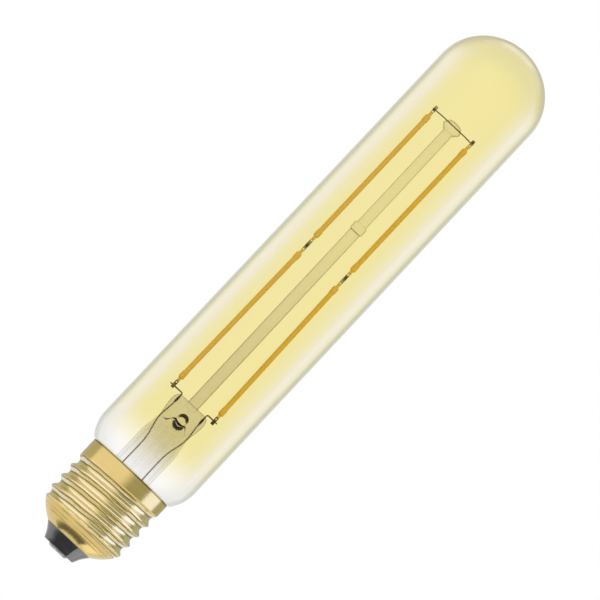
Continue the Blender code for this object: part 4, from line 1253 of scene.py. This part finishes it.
def camera():
    """The photograph's view: from a little under the cap, rolled so that the bulb lies aslant."""
    pitch, roll = CAMERA_PITCH, CAMERA_ROLL
    right = Vector((1.0, 0.0, 0.0))
    up = Vector((0.0, -math.sin(pitch), math.cos(pitch)))
    ahead = Vector((0.0, math.cos(pitch), math.sin(pitch)))
    seen_right = math.sin(roll) * right + math.cos(roll) * up
    seen_up = -math.cos(roll) * right + math.sin(roll) * up
    lens = bpy.data.cameras.new("camera")
    lens.sensor_width = SENSOR_WIDTH
    lens.lens = FOCAL_PIXELS / PHOTO_PIXELS * SENSOR_WIDTH
    lens.shift_x = (PHOTO_PIXELS / 2 - AXIS_PIXEL[0]) / PHOTO_PIXELS
    lens.shift_y = (AXIS_PIXEL[1] - PHOTO_PIXELS / 2) / PHOTO_PIXELS
    lens.clip_start = CAMERA_NEAR
    made = linked("camera", lens)
    turn = Matrix((seen_right, seen_up, -ahead)).transposed().to_4x4()
    made.matrix_world = Matrix.Translation(CAMERA_PLACE) @ turn
    bpy.context.scene.camera = made


SOFT_LEVEL = 0.7
WHITE_LEVEL = 1.0


def world():
    """White to the eye and in mirrors and glass, and a plain soft light on everything else."""
    n = Nodes("studio", "World")
    rays = n.add("LightPath").outputs
    seen = n.either([rays["Is Camera Ray"], rays["Is Glossy Ray"], rays["Is Transmission Ray"]])
    strength = n.mix(seen, SOFT_LEVEL, WHITE_LEVEL, "FLOAT")
    inputs = {"Color": (1, 1, 1, 1), "Strength": strength}
    bpy.context.scene.world = n.surface(n.add("Background", inputs).outputs[0])


LAMP_AIM = (0.0, 0.0, 0.09)


def lamp(name, place, size, watts):
    """A square lamp that faces the bulb and that no mirror shows."""
    data = bpy.data.lights.new(name, "AREA")
    data.shape = "RECTANGLE"
    data.size = size
    data.size_y = size
    data.energy = watts
    made = linked(name, data)
    made.location = place
    made.rotation_euler = (Vector(LAMP_AIM) - Vector(place)).to_track_quat("-Z", "Y").to_euler()
    made.visible_glossy = False


def only_in_mirrors(made):
    """Metal and gloss reflect it, but the camera doesn't see it and it shades nothing."""
    made.visible_camera = False
    made.visible_diffuse = False
    made.visible_transmission = False
    made.visible_shadow = False
    made.visible_volume_scatter = False


CREAM_LIGHT = (1.22, 1.44, 2.6)
HIGH_LIGHT = (1.14, 1.25, 1.9)
FLAG_DISTANCE = 0.6
FLAG_STEPS = 24
FLAG_LOW = -0.5
FLAG_HIGH = 0.7
FLAG_SHARPEST_SHARE = 0.0001
FLAGS = (
    # (name, first bearing, last bearing, foot, light, shares of its width over which its two sides fade out)
    ("flag_front", -6, 67, FLAG_LOW, (0.41, 0.44, 0.38), (0.36, 0.0)),
    ("flag_right", 67, 112, FLAG_LOW, CREAM_LIGHT, (0.0, 0.0)),
    ("flag_rear_right", 112, 180, FLAG_LOW, (0.46, 0.5, 0.44), (0.0, 0.0)),
    ("flag_rear_left", 180, 263, FLAG_LOW, (0.53, 0.55, 0.48), (0.0, 0.1)),
    ("flag_high_left", 263, 354, 0.09, HIGH_LIGHT, (0.0, 0.0)),
)
TOP_CARD_HALF = 0.55
TOP_CARD_Z = 0.72

# The cards under the insulator: a dark arched strip, as (radius, first bearing, last bearing) of both edges,
# and a white one beside it, as (x, y)
DARK_CARD = ((0.0104, -84.0, 53.0), (0.0064, -80.0, 48.0))
DARK_CARD_Z = -0.0025
DARK_CARD_FADE = (-0.0125, -0.0055)  # over this span of x it fades in
DARK_CARD_LIGHT = (0.15, 0.15, 0.15)
WHITE_CARD = (
    (0.0059, -0.0048), (0.0109, -0.0076), (0.0148, -0.0026), (0.0189, 0.0068), (0.0098, 0.0021),
    (0.0079, -0.0019),
)
WHITE_CARD_Z = -0.0026
WHITE_CARD_LIGHT = (1.2, 1.2, 1.2)


def flag_material(light, fades):
    """One even light that fades out over a share of the flag's width at each side."""
    n = Nodes("flag")
    across = n.add("SeparateXYZ", {0: n.add("UVMap").outputs[0]}).outputs["X"]
    left, right = [max(share, FLAG_SHARPEST_SHARE) for share in fades]
    shown = n.both(n.rise(across, 0.0, left), n.fall(across, 1.0 - right, 1.0))
    return n.surface(n.mix_shader(shown, n.clear(), n.glow(light)))


def round_the_bulb(radius, start, end):
    """Points (x, y) on a circle from one bearing to another. Bearing 0 is the camera's, and 90 is +x."""
    bearings = np.radians(np.linspace(start, end, FLAG_STEPS + 1))
    return [(radius * math.sin(bearing), -radius * math.cos(bearing)) for bearing in bearings]


def flag(name, start, end, low, light, fades):
    """An upright curved flag round the bulb."""
    line = round_the_bulb(FLAG_DISTANCE, start, end)
    count = len(line)
    data = bpy.data.meshes.new(name)
    faces = [(i, i + 1, count + i + 1, count + i) for i in range(count - 1)]
    data.from_pydata([(x, y, z) for z in (low, FLAG_HIGH) for x, y in line], [], faces)
    layer = data.uv_layers.new(name="UVMap")
    for loop in data.loops:
        layer.data[loop.index].uv = (loop.vertex_index % count / FLAG_STEPS, loop.vertex_index // count)
    data.materials.append(flag_material(light, fades))
    only_in_mirrors(linked(name, data))


def level_sheet(name, outline, z, material):
    """A flat level piece of the studio, from its outline (x, y)."""
    data = bpy.data.meshes.new(name)
    data.from_pydata([(x, y, z) for x, y in outline], [], [tuple(range(len(outline)))])
    data.materials.append(material)
    return linked(name, data)


def square(half):
    return [(-half, -half), (half, -half), (half, half), (-half, half)]


def card(name, outline, z, light, fade=None):
    """A level card above or below the bulb. It fades in over the span fade of x."""
    n = Nodes(name)
    shader = n.glow(light)
    if fade:
        shader = n.mix_shader(n.rise(n.axis("X"), *fade), n.clear(), shader)
    only_in_mirrors(level_sheet(name, outline, z, n.surface(shader)))


FLOOR_Z = -0.05
FLOOR_HALF = 3.0
FLOOR_FADE = (0.25, 0.9)  # over this distance from the middle it turns white
FLOOR_COLOUR = (245, 245, 244)
FLOOR_GRAIN_COLOUR = (243, 243, 242)


def floor():
    """A pale floor well under the held bulb. It fades into the white round it, and shows no underside."""
    n = Nodes("floor")
    colour = n.painted(linear(FLOOR_COLOUR), n.patches(60.0, 3.0), FLOOR_GRAIN_COLOUR)
    pale = n.add("BsdfDiffuse", {"Color": colour}).outputs[0]
    away = n.add("VectorMath", {0: n.place()}, operation="LENGTH").outputs["Value"]
    far = n.mix_shader(n.rise(away, *FLOOR_FADE), pale, n.glow((1, 1, 1)))
    under = n.add("NewGeometry").outputs["Backfacing"]
    finish = n.surface(n.mix_shader(under, far, n.clear()))
    level_sheet("floor", square(FLOOR_HALF), FLOOR_Z, finish)


def stage():
    camera()
    world()
    floor()
    lamp("key", (-0.8, -0.9, 0.9), 0.9, 8.0)
    lamp("fill", (0.9, -0.7, 0.5), 0.8, 5.0)
    for row in FLAGS:
        flag(*row)
    card("flag_above", square(TOP_CARD_HALF), TOP_CARD_Z, HIGH_LIGHT)
    arch = round_the_bulb(*DARK_CARD[0]) + round_the_bulb(*DARK_CARD[1])[::-1]
    card("flag_under_insulator", arch, DARK_CARD_Z, DARK_CARD_LIGHT, DARK_CARD_FADE)
    card("flag_side_white", WHITE_CARD, WHITE_CARD_Z, WHITE_CARD_LIGHT)


def main():
    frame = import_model()
    wires = wire_material()
    envelope(envelope_material(), inner_wall_material())
    screw_cap(brass_material())
    insulator(black_glass_material())
    contact(nickel_material())
    stem(stem_material(), stem_inside_material())
    mount(rod_material(), thin_glass_material())
    lead_wire("left", -1, LEFT_X[0], LEFT_LEAD_Z, wires)
    lead_wire("right", 1, RIGHT_X[0], RIGHT_LEAD_Z, wires)
    bridge(wires)
    filaments(coat_material(), tab_material())
    inner_nodes(frame["nodes"])
    stage()
    scene = bpy.context.scene
    scene.view_settings.view_transform = "Standard"
    scene.cycles.transparent_max_bounces = 24
    scene.cycles.max_bounces = 16
    scene.cycles.transmission_bounces = 16


main()
